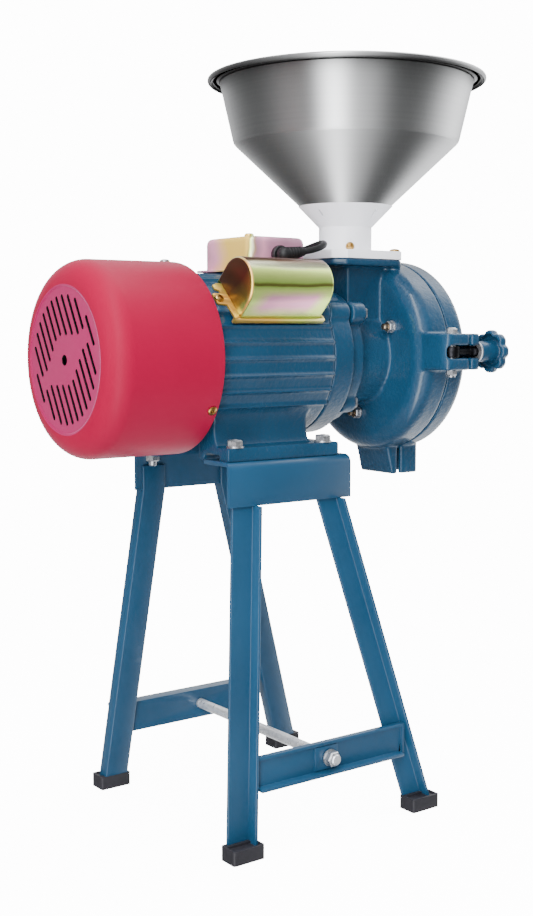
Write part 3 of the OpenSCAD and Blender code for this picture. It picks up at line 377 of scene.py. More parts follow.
def settle(o):
    """Applies an object's modifiers, so that its mesh is what is seen."""
    deps = bpy.context.evaluated_depsgraph_get()
    mesh = bpy.data.meshes.new_from_object(o.evaluated_get(deps))
    old = o.data
    o.modifiers.clear()
    o.data = mesh
    mesh.name = o.name
    if old.users == 0:
        bpy.data.meshes.remove(old)
    return o


def worked(o, kind, **settings):
    """Puts one modifier on a piece, with these settings, and applies it."""
    m = o.modifiers.new(kind.lower(), kind)
    for name, value in settings.items():
        setattr(m, name, value)
    return settle(o)


def cut(o, *tools):
    for t in tools:
        worked(o, "BOOLEAN", operation="DIFFERENCE", solver="EXACT", object=t)
        bpy.data.objects.remove(t)
    return o


def rounded(o, width, segments=2, angle=35):
    """Breaks the sharp edges of a piece to a small radius."""
    return worked(o, "BEVEL", width=width * MM, segments=segments, limit_method="ANGLE",
                  angle_limit=math.radians(angle), use_clamp_overlap=True, harden_normals=False)


def joined(first, *rest):
    """One object out of several."""
    b = bmesh.new()
    for o in (first, *rest):
        b.from_mesh(o.data)
    b.to_mesh(first.data)
    b.free()
    for o in rest:
        bpy.data.objects.remove(o)
    return first


def traced(name, node):
    """A clean copy of a solid, with its flat faces whole again."""
    mesh = frame["nodes"][node].data.copy()
    b = bmesh.new()
    b.from_mesh(mesh)
    bmesh.ops.remove_doubles(b, verts=b.verts, dist=2e-6)
    bmesh.ops.dissolve_limit(b, angle_limit=math.radians(0.4), verts=b.verts, edges=b.edges)
    b.to_mesh(mesh)
    b.free()
    mesh.materials.clear()
    return place(name, mesh)


# ---------------------------------------------------------------- from shape to finished piece
def fit(o, finish, body, *nodes, angle=38, slot=None):
    """Finishes a piece: finish, smooth faces with sharp edges kept, body, and the solids it stands for."""
    o.data.materials.clear()
    o.data.materials.append(finish)
    if o.type == "MESH":
        o.data.shade_smooth()
        o.data.set_sharp_from_angle(angle=math.radians(angle))
    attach(o, body)
    if nodes:
        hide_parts(*nodes)
    return o


def second(o, material, where):
    """Gives the faces that where(place, normal) picks another material; place is in the mill's own frame."""
    o.data.materials.append(material)
    last = len(o.data.materials) - 1
    for part in o.data.polygons:
        if where(part.center / MM - SHAFT, part.normal):
            part.material_index = last


def softened(name, node, finish, edge, segments=2, body="base"):
    """A piece that keeps the shape of its solid, with its sharp edges broken to a small radius."""
    return fit(rounded(traced(name, node), edge, segments), finish, body, node)


def cast(name, node, grain, rounds, body="base"):
    """A casting: the solid with its edges and corners run together, as a mould leaves them."""
    o = worked(traced(name, node), "REMESH", mode="VOXEL", voxel_size=grain * MM, adaptivity=0.0)
    worked(o, "SMOOTH", factor=0.5, iterations=rounds)
    return fit(o, BLUE_CAST, body, node, angle=60)


def dress(**finishes):
    """Gives solids that are shown as they are their finish."""
    for node, finish in finishes.items():
        mesh = frame["nodes"][node].data
        mesh.materials.clear()
        mesh.materials.append(finish)


# ---------------------------------------------------------------- finishes
class Finish(Wiring):
    """One material: a principled shader, with its colour, roughness and relief worked out in nodes."""

    def __init__(self, name, colour, rough, metal=0.0):
        self.m = bpy.data.materials.new(name)
        self.m.use_nodes = True
        super().__init__(self.m.node_tree)
        self.bsdf = self.add("ShaderNodeBsdfPrincipled", ("Metallic", metal), ("Roughness", rough),
                             ("Base Color", (*colour, 1)))
        self.add("ShaderNodeOutputMaterial", ("Surface", self.bsdf.outputs[0]))
        self.where = self.add("ShaderNodeTexCoord").outputs["Object"]
        self.normal = None

    def set(self, **values):
        for k, v in values.items():
            s = self.bsdf.inputs[k.replace("_", " ")]
            s.default_value = (*v, 1) if isinstance(v, tuple) else v

    def stretch(self, *scale):
        return self.add("ShaderNodeMapping", ("Vector", self.where), ("Scale", scale)).outputs[0]

    def noise(self, scale, detail=3, rough=0.5, vector=None):
        return self.add("ShaderNodeTexNoise", ("Vector", vector or self.where), ("Scale", scale),
                        ("Detail", detail), ("Roughness", rough)).outputs["Fac"]

    def mix(self, a, b, fac):
        return self.add("ShaderNodeMix", (0, fac), (6, a), (7, b), data_type="RGBA").outputs[2]

    def colour(self, value):
        self.feed(self.bsdf.inputs["Base Color"], value)

    def rough(self, value, low, high):
        self.feed(self.bsdf.inputs["Roughness"], self.rescaled(value, to_low=low, to_high=high))

    def relief(self, value, depth):
        """Adds a bump of that depth in millimetres; several lie on each other."""
        self.normal = self.add("ShaderNodeBump", ("Strength", 1.0), ("Distance", depth * MM),
                               ("Height", value), ("Normal", self.normal)).outputs[0]
        self.feed(self.bsdf.inputs["Normal"], self.normal)


def rgb(code):
    """A colour from its six-digit screen code, as linear light."""
    def line(c):
        c /= 255
        return c / 12.92 if c <= 0.04045 else ((c + 0.055) / 1.055) ** 2.4
    return tuple(line(int(code[i:i + 2], 16)) for i in (0, 2, 4))


def casting_paint():
    """Thick gloss enamel over rough castings: orange peel, and the sand grain showing through."""
    f = Finish("blue paint on castings", (0.003, 0.044, 0.094), 0.3)
    f.colour(f.ramp(f.noise(14, 4), (0.3, (0.006, 0.033, 0.07)), (0.55, (0.008, 0.041, 0.085)),
                    (0.8, (0.011, 0.052, 0.104))))
    f.rough(f.noise(60), 0.3, 0.46)
    f.relief(f.noise(240, 2, 0.55), 0.8)
    f.relief(f.noise(800, 2, 0.6), 0.18)
    f.relief(f.noise(45, 2), 0.7)
    f.set(Coat_Weight=0.5, Coat_Roughness=0.045, Specular_IOR_Level=0.2)
    return f.m


def sheet_paint():
    f = Finish("blue paint on rolled steel", (0.008, 0.047, 0.1), 0.34)
    f.colour(f.ramp(f.noise(9), (0.3, (0.0075, 0.043, 0.092)), (0.7, (0.0105, 0.055, 0.115))))
    f.rough(f.noise(80, 2), 0.28, 0.44)
    f.relief(f.noise(420, 2), 0.06)
    f.relief(f.noise(30, 2), 0.25)
    f.set(Coat_Weight=0.3, Coat_Roughness=0.14, Specular_IOR_Level=0.4)
    return f.m


def cover_paint(name="red enamel", haze=0.08, shine=0.09, blue=0.024, tint=(1.0, 0.9, 0.97)):
    f = Finish(name, (0.25, 0.001, 0.02), 0.42)
    f.colour(f.ramp(f.noise(7, 2), (0.3, (0.235, 0.0007, blue)), (0.7, (0.27, 0.001, blue * 1.2))))
    f.rough(f.noise(120, 2), 0.36, 0.46)
    f.relief(f.noise(500, 2), 0.03)
    f.relief(f.noise(22, 2), 0.15)
    f.set(Specular_IOR_Level=shine, Sheen_Weight=haze, Sheen_Roughness=0.35, Sheen_Tint=tint)
    return f.m


PINK, MAUVE, YELLOW, GREEN = (0.95, 0.42, 0.6), (0.5, 0.24, 0.34), (0.98, 0.56, 0.11), (0.5, 0.72, 0.16)
LIME, OLIVE, PALE, UMBER = (0.8, 1.0, 0.26), (0.2, 0.2, 0.04), (0.95, 0.95, 0.66), (0.2, 0.1, 0.06)
AMBER, PLUM = (1.0, 0.66, 0.14), (0.6, 0.3, 0.42)


def zinc_hues_and_painted_light(name, along, centre, reach, *stops, metal, rough=(0.26, 0.36), drift=0.012, ends=None):
    """Zinc plate with a yellow passivation whose hues run along one direction; where the stops are so set,
    they also lay painted highlights and painted reflections.
    """
    f = Finish(name, (0.8, 0.6, 0.25), rough[0], metal)
    shift = f.vector("SUBTRACT", f.where, spot(*centre))
    wave = f.rescaled(f.noise(26, 2), to_low=-drift, to_high=drift)
    span = f.rescaled(f.maths("ADD", f.vector("DOT_PRODUCT", shift, along), wave), -reach * MM, reach * MM)
    hue = f.ramp(span, *stops)
    if ends:
        hue = pink_between(f, ends, centre, shift, span, stops, hue)
    f.colour(hue)
    f.rough(f.noise(60, 2), *rough)
    f.relief(f.noise(40, 2), 0.08)
    return f.m


def pink_between(f, ends, centre, shift, span, stops, hue):
    """Keeps the pink of a zinc finish between two places along the shaft, and makes it lime outside them."""
    reach = 60
    plain = f.ramp(span, *[(at, LIME if colour == PINK else colour) for at, colour in stops])
    lean = f.vector("DOT_PRODUCT", shift, (1, 0, -0.45))
    middle, half = (ends[0] + ends[1]) / 2 - centre[0], (ends[1] - ends[0]) / (4 * reach)
    away = f.rescaled(lean, (middle - reach) * MM, (middle + reach) * MM)
    inside = f.ramp(away, (0.46 - half, 0.0), (0.6 - half, 1.0), (0.42 + half, 1.0), (0.52 + half, 0.0))
    return f.mix(plain, hue, inside)


def bright_zinc(name="bright zinc plate", dark="9a9ca0", light="d2d3d6", rough=(0.2, 0.38), metal=0.85):
    f = Finish(name, rgb(light), rough[0], metal)
    f.colour(f.ramp(f.noise(220), (0.3, rgb(dark)), (0.7, rgb(light))))
    f.rough(f.noise(300), *rough)
    f.relief(f.noise(900, 2), 0.02)
    return f.m


def brass():
    f = Finish("yellow brass", rgb("c79a50"), 0.28, 1.0)
    f.colour(f.ramp(f.noise(300), (0.3, rgb("a87a3a")), (0.7, rgb("ddb873"))))
    f.rough(f.noise(400, 2), 0.2, 0.4)
    return f.m


def spun_steel(name="spun stainless steel", upright=0.06, rough=(0.38, 0.44), grain=0.92, tone=0.62,
               lift=0.14):
    """Hopper sheet: fine rings left by spinning, which draw each reflection out up and down the wall."""
    # tone sets the sheet's brightness; the lighter and darker copies of this steel use it for painted light
    # and painted shade.
    f = Finish(name, (tone, tone, tone + 0.005), rough[0], 1.0)
    rings = f.noise(1.0, 3, 0.6, f.stretch(1.2, 1.2, 420))
    f.colour(f.ramp(rings, (0.3, tone - 0.02), (0.7, tone + 0.02)))
    f.rough(f.noise(10), *rough)
    flat = f.vector("MULTIPLY", f.add("ShaderNodeNewGeometry").outputs["Normal"], (1, 1, upright))
    f.normal = f.vector("NORMALIZE", f.vector("ADD", flat, (0, 0, lift)))
    f.relief(rings, 0.0015)
    f.set(Anisotropic=grain, Anisotropic_Rotation=0.25)
    return f.m


def moulded(name, colour, low, high, rough=(0.35, 0.5), grain=600, depth=0.04):
    f = Finish(name, colour, rough[0])
    f.colour(f.ramp(f.noise(35), (0.3, low), (0.7, high)))
    f.rough(f.noise(200, 2), *rough)
    f.relief(f.noise(grain, 2), depth)
    return f.m


def machined(name, colour, low, high, rough=(0.25, 0.45), across=(1, 1, 1)):
    f = Finish(name, rgb(colour), rough[0], 1.0)
    f.colour(f.ramp(f.noise(90, 4, 0.6, f.stretch(*across)), (0.3, rgb(low)), (0.7, rgb(high))))
    f.rough(f.noise(220), *rough)
    f.relief(f.noise(500, 3, 0.6, f.stretch(*across)), 0.03)
    return f.m


def laminations():
    f = Finish("core laminations", rgb("8d8f93"), 0.4, 1.0)
    sheets = f.noise(1.0, 1, 0.5, f.stretch(1900, 2, 2))
    f.colour(f.ramp(sheets, (0.35, rgb("55585c")), (0.6, rgb("a5a7ab"))))
    f.relief(sheets, 0.1)
    return f.m


def winding_wire():
    f = Finish("enamelled winding wire", rgb("a8582e"), 0.3, 0.7)
    strands = f.noise(1.0, 2, 0.6, f.stretch(700, 700, 60))
    f.colour(f.ramp(strands, (0.35, rgb("7a3818")), (0.65, rgb("c87a44"))))
    f.relief(strands, 0.25)
    return f.m


set_camera()
room()
pale_floor()
lamps()

BLUE_CAST, BLUE_SHEET, RED = casting_paint(), sheet_paint(), cover_paint()
# Painted light: a lighter, pinker copy of the red enamel for the flat slotted end, which faces the light.
RED_END_LIT = cover_paint("red enamel on the slotted end", 0.5, 0.25, 0.05, (1.0, 0.72, 0.95))
ZINC, BRASS, STEEL = bright_zinc(), brass(), spun_steel()
BAR_ZINC = bright_zinc("bright zinc on the tie rod", "d4d6da", "f2f3f5", (0.24, 0.34), 0.7)
# Partly painted shade: the rim's copy of the hopper steel is darker than the wall's, and it also shades with
# its true normal and without grain.
RIM_STEEL = spun_steel("rolled rim of stainless steel", 1.0, (0.24, 0.32), 0.0, 0.5, 0.0)
# Painted shade: a darker copy of the steel for the faces under the rolled rim.
RIM_SHADE = spun_steel("painted shade under the rolled rim", 0.1, (0.3, 0.4), 0.0, 0.32, 0.3)
# Painted light: the cone's copy of the hopper steel is lighter than the wall's.
CONE_STEEL = spun_steel("spun cone of the hopper", grain=0.55, tone=0.7, lift=0.4)
# Painted highlight: a lighter copy of the steel for the bend between the cone and the upper wall.
BEND_HIGHLIGHT = spun_steel("bend of the hopper wall", 0.2, (0.42, 0.5), 0.9, 0.68, 0.2)
# Passivation hues across the terminal box; the lime and pale stops at the middle are a painted highlight down
# its near corner.
BOX_GOLD = zinc_hues_and_painted_light("yellow zinc on the terminal box", (0.75, -0.66, 0.0), (61, -38, 97), 50,
                           (0.0, MAUVE), (0.1, PINK), (0.17, (1.0, 0.6, 0.3)), (0.26, AMBER), (0.45, AMBER),
                           (0.475, (0.5, 0.36, 0.1)), (0.49, LIME), (0.51, PALE), (0.535, (0.5, 0.3, 0.2)),
                           (0.56, PLUM), (0.62, PINK), (0.68, (0.62, 0.28, 0.42)), (0.8, MAUVE), (1.0, PLUM),
                           metal=0.45)
# Passivation hues in bands by height on the capacitor cover, laid where the reflections fall: the pale band
# near the top is a painted highlight and the umber top a painted dark reflection.
HOOD_GOLD = zinc_hues_and_painted_light("yellow zinc on the capacitor cover", (0.0, 0.0, 1.0), (71, -60, 62), 30,
                            (0.0, GREEN), (0.04, LIME), (0.1, LIME), (0.24, PINK), (0.38, PINK), (0.48, LIME),
                            (0.53, GREEN), (0.545, OLIVE), (0.57, OLIVE), (0.6, GREEN), (0.7, LIME),
                            (0.78, LIME), (0.85, PALE), (0.92, UMBER), (1.0, UMBER),
                            metal=0.85, rough=(0.2, 0.28), drift=0.002, ends=(40, 110))
# Painted reflection: the end of the capacitor cover, the same yellow zinc, is coloured dark brown with lime
# at one edge.
CAP_END_REFLECTION = zinc_hues_and_painted_light("yellow zinc on the cover's end", (-0.4, -0.6, -0.7), (24, -76, 66), 26,
                           (0.0, (0.16, 0.07, 0.04)), (0.45, (0.12, 0.05, 0.03)), (0.75, (0.26, 0.2, 0.05)),
                           (1.0, LIME), metal=0.85)
# Painted reflection: the rounded edge of the capacitor cover, the same yellow zinc, is coloured gold and
# orange, with a pale painted highlight at the top.
EDGE_REFLECTION = zinc_hues_and_painted_light("yellow zinc on the cover's rounded edge", (0.0, 0.0, 1.0), (24, -76, 62), 30,
                            (0.0, (0.75, 0.7, 0.1)), (0.3, (0.85, 0.42, 0.1)), (0.6, (0.9, 0.6, 0.12)),
                            (0.85, (0.8, 0.4, 0.14)), (1.0, (0.95, 0.85, 0.4)), metal=0.9)
GOLD = zinc_hues_and_painted_light("yellow zinc on small parts", (0.6, 0.2, 0.77), (70, -60, 60), 60,
                       (0.0, (0.85, 0.5, 0.12)), (0.25, YELLOW), (0.4, (0.8, 0.8, 0.16)),
                       (0.55, (0.9, 0.8, 0.3)), (0.7, YELLOW), (1.0, LIME), metal=0.88)
WHITE = moulded("white moulded plastic", (0.94, 0.94, 0.99), (0.92, 0.92, 0.97), (0.96, 0.96, 1.0),
                (0.3, 0.42), 300, 0.05)
BOOT = moulded("grey-black boot rubber", (0.014, 0.0135, 0.018), (0.011, 0.0105, 0.014),
               (0.018, 0.017, 0.022), (0.5, 0.7), 500, 0.12)
RUBBER = moulded("black rubber", (0.006, 0.006, 0.007), (0.004, 0.004, 0.005), (0.009, 0.009, 0.01),
                 (0.45, 0.6), 700, 0.06)
BLACK = moulded("black moulded plastic", (0.01, 0.01, 0.011), (0.007, 0.007, 0.008), (0.015, 0.015, 0.017),
                (0.3, 0.45), 500, 0.05)
BROWN = moulded("brown bakelite", (0.06, 0.022, 0.012), (0.04, 0.014, 0.008), (0.09, 0.034, 0.018),
                (0.25, 0.4), 300, 0.04)
# Painted shade: near black for the inside of the fan cover and the walls of its slots.
COWL_SHADE = moulded("painted shade inside the fan cover", (0.004, 0.002, 0.003), (0.003, 0.0015, 0.002),
                 (0.006, 0.003, 0.004), (0.7, 0.9))
CAN = moulded("capacitor can", rgb("d8d8da"), rgb("cfcfd2"), rgb("e2e2e4"), (0.3, 0.45))
BARE_STUD = machined("bare stud end", "8c7a66", "66584a", "ab9a84", (0.25, 0.4))
PINK_TIP = machined("pink bolt end", "c89a92", "a4766e", "dcb4ac", (0.2, 0.35))
DARK = machined("blackened steel", "2a2a2d", "1b1b1e", "3a3a3e", (0.3, 0.5))
GROUND = machined("ground steel", "aeb0b4", "8f9296", "c8cacd", (0.18, 0.35), (1, 6, 6))
IRON = machined("cast grinding iron", "6d6e70", "55565a", "86878a", (0.35, 0.6))
CORE, COPPER = laminations(), winding_wire()


# ---------------------------------------------------------------- cord, plug and hank
route = smooth_route(LEAD + hank_turns(-67.8, 6.0, 5.9, 3) + TAIL)
line = bpy.data.curves.new("mains_cord", "CURVE")
line.dimensions, line.bevel_depth, line.bevel_resolution, line.use_fill_caps = "3D", 0.003, 4, True
run = line.splines.new("POLY")
run.points.add(len(route) - 1)
for point, stop in zip(run.points, route):
    point.co = (*spot(*stop), 1)
cord = fit(place("mains_cord", line), RUBBER, "base", "power_cord", "cord_hank")


def plug_piece():
    body = rounded(pressed("plug_body", rounded_box(24, 34, 5), 21, 61, PLUG, Y, Z, X), 2.2, 3)
    collar = turned("plug_collar", [(0, 60), (8.4, 60), (8.4, 63.5), (7.6, 64.5), (0, 64.5)], PLUG)
    sleeve = ribs(64.0, 85, 3.0, lambda x: 6.6 - 2.6 * (x - 62) / 24, 1.8, (2.0, 2.9))
    sleeve = turned("plug_sleeve", [(0, 62)] + sleeve + [(3.9, 86), (0, 86)], PLUG, steps=48)
    return joined(body, collar, sleeve)


plug = fit(plug_piece(), BLACK, "base", "plug", slot="black_rubber")
pins = joined(*[turned("pin", [(0, 2), (1.6, 2), (2.4, 3.4), (2.4, 21.5), (0, 21.5)],
                       (PLUG[0], PLUG[1], PLUG[2] + side), steps=32) for side in (-9.5, 9.5)])
pins.name = "plug_pins"
fit(pins, BRASS, "base")


# ---------------------------------------------------------------- repeated pieces, grown from node trees
class Pattern(Wiring):
    """A node tree for what repeats, with a named input for each size; given holds those inputs."""

    def __init__(self, name, **sizes):
        self.tree = bpy.data.node_groups.new(name, "GeometryNodeTree")
        super().__init__(self.tree)
        for label, kind in {"Geometry": "Geometry", **sizes}.items():
            self.tree.interface.new_socket(label.replace("_", " "), in_out="INPUT",
                                           socket_type="NodeSocket" + kind)
        self.tree.interface.new_socket("Geometry", in_out="OUTPUT", socket_type="NodeSocketGeometry")
        self.given = self.add("NodeGroupInput").outputs

    def painted(self, geometry):
        """Ends the tree: real geometry in the given finish."""
        real = self.add("GeometryNodeRealizeInstances", ("Geometry", geometry)).outputs[0]
        paint = self.add("GeometryNodeSetMaterial", ("Geometry", real), ("Material", self.given["Finish"]))
        self.add("NodeGroupOutput", (0, paint.outputs[0]))
        return self.tree


def grow(o, t, **sizes):
    """Runs a tree on an object once, with these sizes, and keeps the plain mesh."""
    m = o.modifiers.new("grow", "NODES")
    m.node_group = t
    for s in t.interface.items_tree:
        label = s.name.replace(" ", "_")
        if s.in_out == "INPUT" and label in sizes:
            m[s.identifier] = sizes[label]
    o.update_tag()
    return settle(o)


def fastener_tree():
    """A bolt head or nut on every point, along its aim: washer, prism, bevelled crown and stud end."""
    t = Pattern("fasteners on points", Head_radius="Float", Head_height="Float", Sides="Int",
                Washer_radius="Float", Washer_height="Float", Stud_radius="Float", Stud_height="Float",
                Finish="Material")
    g, disc = t.given, 32

    def barrel(sides, radius, depth, low, top=None):
        cone = t.add("GeometryNodeMeshCone", ("Vertices", sides), ("Radius Bottom", radius),
                     ("Radius Top", top or radius), ("Depth", depth))
        up = t.add("ShaderNodeCombineXYZ", ("Z", low))
        return t.add("GeometryNodeTransform", ("Geometry", cone.outputs["Mesh"]),
                     ("Translation", up.outputs[0])).outputs[0]

    def share(size, part):
        return t.maths("MULTIPLY", g[size], part)

    side, seat = share("Head height", 0.84), g["Washer height"]
    top = t.maths("ADD", seat, g["Head height"])
    parts = [barrel(disc, g["Washer radius"], seat, 0.0),
             barrel(g["Sides"], g["Head radius"], side, seat),
             barrel(g["Sides"], g["Head radius"], share("Head height", 0.16), t.maths("ADD", seat, side),
                    share("Head radius", 0.87)),
             barrel(disc, g["Stud radius"], g["Stud height"], top),
             barrel(disc, g["Stud radius"], share("Stud radius", 0.2), t.maths("ADD", top, g["Stud height"]),
                    share("Stud radius", 0.8))]
    whole = t.add("GeometryNodeJoinGeometry", *[(0, p) for p in reversed(parts)]).outputs[0]
    aim = t.add("GeometryNodeInputNamedAttribute", ("Name", "aim"), data_type="FLOAT_VECTOR")
    turn = t.add("FunctionNodeAlignRotationToVector", ("Vector", aim.outputs["Attribute"]), axis="Z")
    return t.painted(t.add("GeometryNodeInstanceOnPoints", ("Points", g["Geometry"]), ("Instance", whole),
                           ("Rotation", turn.outputs[0])).outputs[0])


def thread_tree():
    """A screw thread: one ridge wound along Z, to be laid over a rod."""
    t = Pattern("screw thread", Radius="Float", Pitch="Float", Length="Float", Finish="Material")
    g = t.given
    wind = t.add("GeometryNodeCurveSpiral", ("Resolution", 24),
                 ("Rotations", t.maths("DIVIDE", g["Length"], g["Pitch"])),
                 ("Start Radius", g["Radius"]), ("End Radius", g["Radius"]), ("Height", g["Length"]))
    wire = t.add("GeometryNodeCurvePrimitiveCircle", ("Resolution", 4),
                 ("Radius", t.maths("MULTIPLY", g["Pitch"], 0.36)))
    return t.painted(t.add("GeometryNodeCurveToMesh", ("Curve", wind.outputs[0]),
                           ("Profile Curve", wire.outputs[0]), ("Fill Caps", True)).outputs[0])


FASTENER, THREAD = fastener_tree(), thread_tree()


def fasteners(name, places, flats, height, washer, stud, washer_height=1.6):
    """Bolt heads or nuts, one for each (point, direction); washer is a radius, stud a radius and a length."""
    o = workpiece(name, [p for p, _ in places], [])
    aim = o.data.attributes.new("aim", "FLOAT_VECTOR", "POINT")
    for i, (_, direction) in enumerate(places):
        aim.data[i].vector = Vector(direction).normalized()
    sides = 6
    return grow(o, FASTENER, Head_radius=flats / 2 / math.cos(math.pi / sides) * MM, Head_height=height * MM,
                Sides=sides, Washer_radius=washer * MM, Washer_height=washer_height * MM,
                Stud_radius=stud[0] * MM, Stud_height=stud[1] * MM, Finish=ZINC)


def thread(name, start, direction, radius, pitch, length, finish):
    """The ridge of a thread, set in place along a direction."""
    o = grow(workpiece(name, [], []), THREAD, Radius=(radius - pitch * 0.2) * MM, Pitch=pitch * MM,
             Length=length * MM, Finish=finish)
    o.data.transform(Matrix.Translation(spot(*start)) @ Matrix(axes(direction)).transposed().to_4x4())
    return o


def rod(name, start, direction, radius, length, tip=0.8, steps=32):
    return turned(name, [(0, 0), (radius, 0), (radius, length - tip), (radius - tip, length), (0, length)],
                  start, direction, steps)


def cross_screw(name, seat, out, radius, height, cross=2.4, slot=0.9):
    """A domed screw head with a cross recess."""
    dome = [(0, 0), (radius, 0), (radius, 0.3)]
    dome += [(radius * math.sin(a), height * (0.35 + 0.65 * math.cos(a))) for a in (1.35, 1.05, 0.7, 0.35)]
    head = turned(name, dome + [(0, height)], seat, out, 32)
    u, v, w = axes(out)
    for p, q in ((u, v), (v, u)):
        cut(head, pressed("bar", box(-cross, -slot / 2, cross, slot / 2), height * 0.45, height + 1,
                          seat, p, q, w))
    return head


# ---------------------------------------------------------------- stand
def stand():
    for side in ("near", "far"):
        softened(side + "_rail_angle", side + "_rail", BLUE_SHEET, 0.7)
        for end in ("left", "right"):
            leg = "%s_%s_leg" % (side, end)
            softened(leg + "_angle", leg, BLUE_SHEET, 0.8)
        softened(side + "_crossbar_channel", side + "_crossbar", BLUE_SHEET, 0.8)
    softened("leg_boots", "rubber_boots", BOOT, 1.4, 3)
    y = BAR_OUT + 13
    bar = turned("tie_rod_bar", [(0, -y), (4.2, -y), (5, -y + 1), (5, y - 1), (4.2, y), (0, y)],
                 (TIE_X, 0, TIE_Z), Y, 40)
    fit(bar, BAR_ZINC, "base", "tie_rod")
    ends = [thread("tie_rod_thread", (TIE_X, s * (BAR_OUT - 8), TIE_Z), (0, s, 0), 5, 1.5, 20, ZINC)
            for s in (1, -1)]
    fit(joined(*ends), ZINC, "base")
    nuts = [((TIE_X, s * (BAR_OUT + 2), TIE_Z), (0, s, 0)) for s in (1, -1)]
    fit(fasteners("tie_rod_nut_pair", nuts, 13, 7, 7.8, (5, 0.5), 1.4), ZINC, "base", "tie_rod_nuts")
    heads, nuts = [((x, y, -78), Z) for x, y in FEET], [((x, y, -94), (0, 0, -1)) for x, y in FEET]
    fit(fasteners("foot_bolt_heads", heads, 13, 5.2, 8, (2.6, 0.1)), ZINC, "base", "foot_bolts")
    fit(fasteners("foot_bolt_nuts", nuts, 13, 6.4, 8, (4, 4), 0.9), ZINC, "base", "foot_nuts")


# ---------------------------------------------------------------- motor
def motor():
    cast("motor_body", "motor_frame", grain=1.5, rounds=2)
    cast("mill_end_shield", "drive_end_shield", grain=1.5, rounds=4)
    cast("fan_end_shield", "rear_end_shield", grain=1.6, rounds=3)
    fan_cowl()
    dress(stator_core=CORE, rotor_core=CORE, stator_windings=COPPER, motor_shaft=GROUND,
          bearing_outer_rings=GROUND, bearing_inner_rings=GROUND, bearing_balls=GROUND,
          rear_shield_screws=ZINC)
    blades()


def blades():
    count, first = 7, 10
    fan = [turned("fan_hub", [(10.1, -64), (17, -64), (17, -40), (22, -38), (71, -37.6), (72, -36),
                              (71, -34.4), (17, -34), (10.1, -34)])]
    for k in range(count):
        a = math.radians(first + 360 / count * k)
        out, across = (0, -math.sin(a), math.cos(a)), (0, math.cos(a), math.sin(a))
        fan.append(pressed("vane", corner_run([(14, -63), (70, -60), (70, -36), (14, -36)], [1, 6, 1, 1]),
                           -1.2, 1.2, CENTRE, out, X, across))
    fit(rounded(joined(*fan), 0.5), BLACK, "rotor", "cooling_fan")


def air_slot(a, b, off, turn):
    """A cutter for one air slot of the fan cover: from a to b along the slots' direction, off to the side."""
    half, t = 1.9, math.radians(60.7 + turn)
    outline = corner_run(box(a - half, off - half, b + half, off + half), half * 0.999, 8)
    return pressed("slot", outline, -115, -100, CENTRE, (0, math.cos(t), math.sin(t)),
                   (0, -math.sin(t), math.cos(t)), X)


def fan_cowl():
    """The fan cover: a drawn cup with a rolled edge, slots cut through its end, and its screws."""
    r, l, t, c, end_disc = COWL_R, COWL_LONG, COWL_WALL, 22, 65.2      # c is the radius of the rolled corner
    pitch, slotted, hub, inset = 9.6, 56.5, 24, 1.6                    # of the slots and what they leave free
    arc = [math.pi / 2 * k / 16 for k in range(17)]
    outer = [(r - 0.2, -0.2)] + [(r, -2 - (l - c - 2) * k / 6) for k in range(7)]
    outer += [(r - c + c * math.cos(a), -(l - c) - c * math.sin(a)) for a in arc[1:]]
    outer += [(64.6, -l), (64.0, -l + 0.15), (63.5, -l + 0.6), (62.6, -l + 0.7), (0, -l + 0.7)]
    inner = [(0, -l + t)] + [(r - c + (c - t) * math.cos(a), -(l - c) - (c - t) * math.sin(a))
                             for a in arc[::-1]]
    inner += [(r - t, -2), (r - t + 0.2, -0.2)]
    shell = turned("fan_cover_shell", outer + inner, steps=160)
    tools = []
    for k in range(5):
        off = (0.5 + k) * pitch
        a, b = max(6.7, hub - 0.5 * off) + inset, math.sqrt(slotted**2 - off**2) - inset
        tools += [air_slot(a, b, s * off, turn) for s in (1, -1) for turn in (0, 180)]
    tools += [air_slot(-12.6, 12.6, s * 5.5 * pitch, 0) for s in (1, -1)]
    tools.append(rod("hole", (-115, 0, 0), X, 4.75, 15))
    cut(shell, joined(*tools))
    fit(rounded(shell, 0.35, 1, 50), RED, "base", "fan_cover", angle=30)
    # Painted light: the flat slotted end takes the lighter, pinker copy of the enamel.
    second(shell, RED_END_LIT, lambda at, out: at.x < t - l and math.hypot(at.y, at.z) < end_disc)
    # Painted shade on the fan cover's inside and on its slot walls.
    second(shell, COWL_SHADE, inside_or_slot)
    heads = []
    for a in (math.radians(degrees) for degrees in (0, 120, 240)):
        seat, y, z = r - 0.1, math.sin(a), math.cos(a)
        heads.append(cross_screw("cover_screw", (-6, seat * y, seat * z), (0, y, z), 4.4, 2.4, 2.6))
    heads = fit(joined(*heads), BRASS, "base", "fan_cover_screws")
    second(heads, ZINC, lambda at, out: at.z > 80)


def inside_or_slot(at, out):
    """True for the unlit faces of the fan cover: its inside and the walls of its slots."""
    away, depth, slots_end = math.hypot(at.y, at.z), COWL_LONG + at.x, 58
    inward = out.y * at.y + out.z * at.z < -0.3 * away and away > slots_end + 2 and depth > 1.6
    return out.x > 0.3 or inward or abs(out.x) < 0.5 and away < slots_end and depth < 2.1


# ---------------------------------------------------------------- motor electrics
ROOT = math.sqrt(0.5)
CAP_OUT, CAP_ACROSS = Vector((0, -ROOT, ROOT)), Vector((0, ROOT, ROOT))


def cap_spot(x, across, out):
    """A place on the capacitor's side of the motor: along the shaft, across the hood, and out from it."""
    return Vector((x, 0, 0)) + CAP_ACROSS * across + CAP_OUT * out


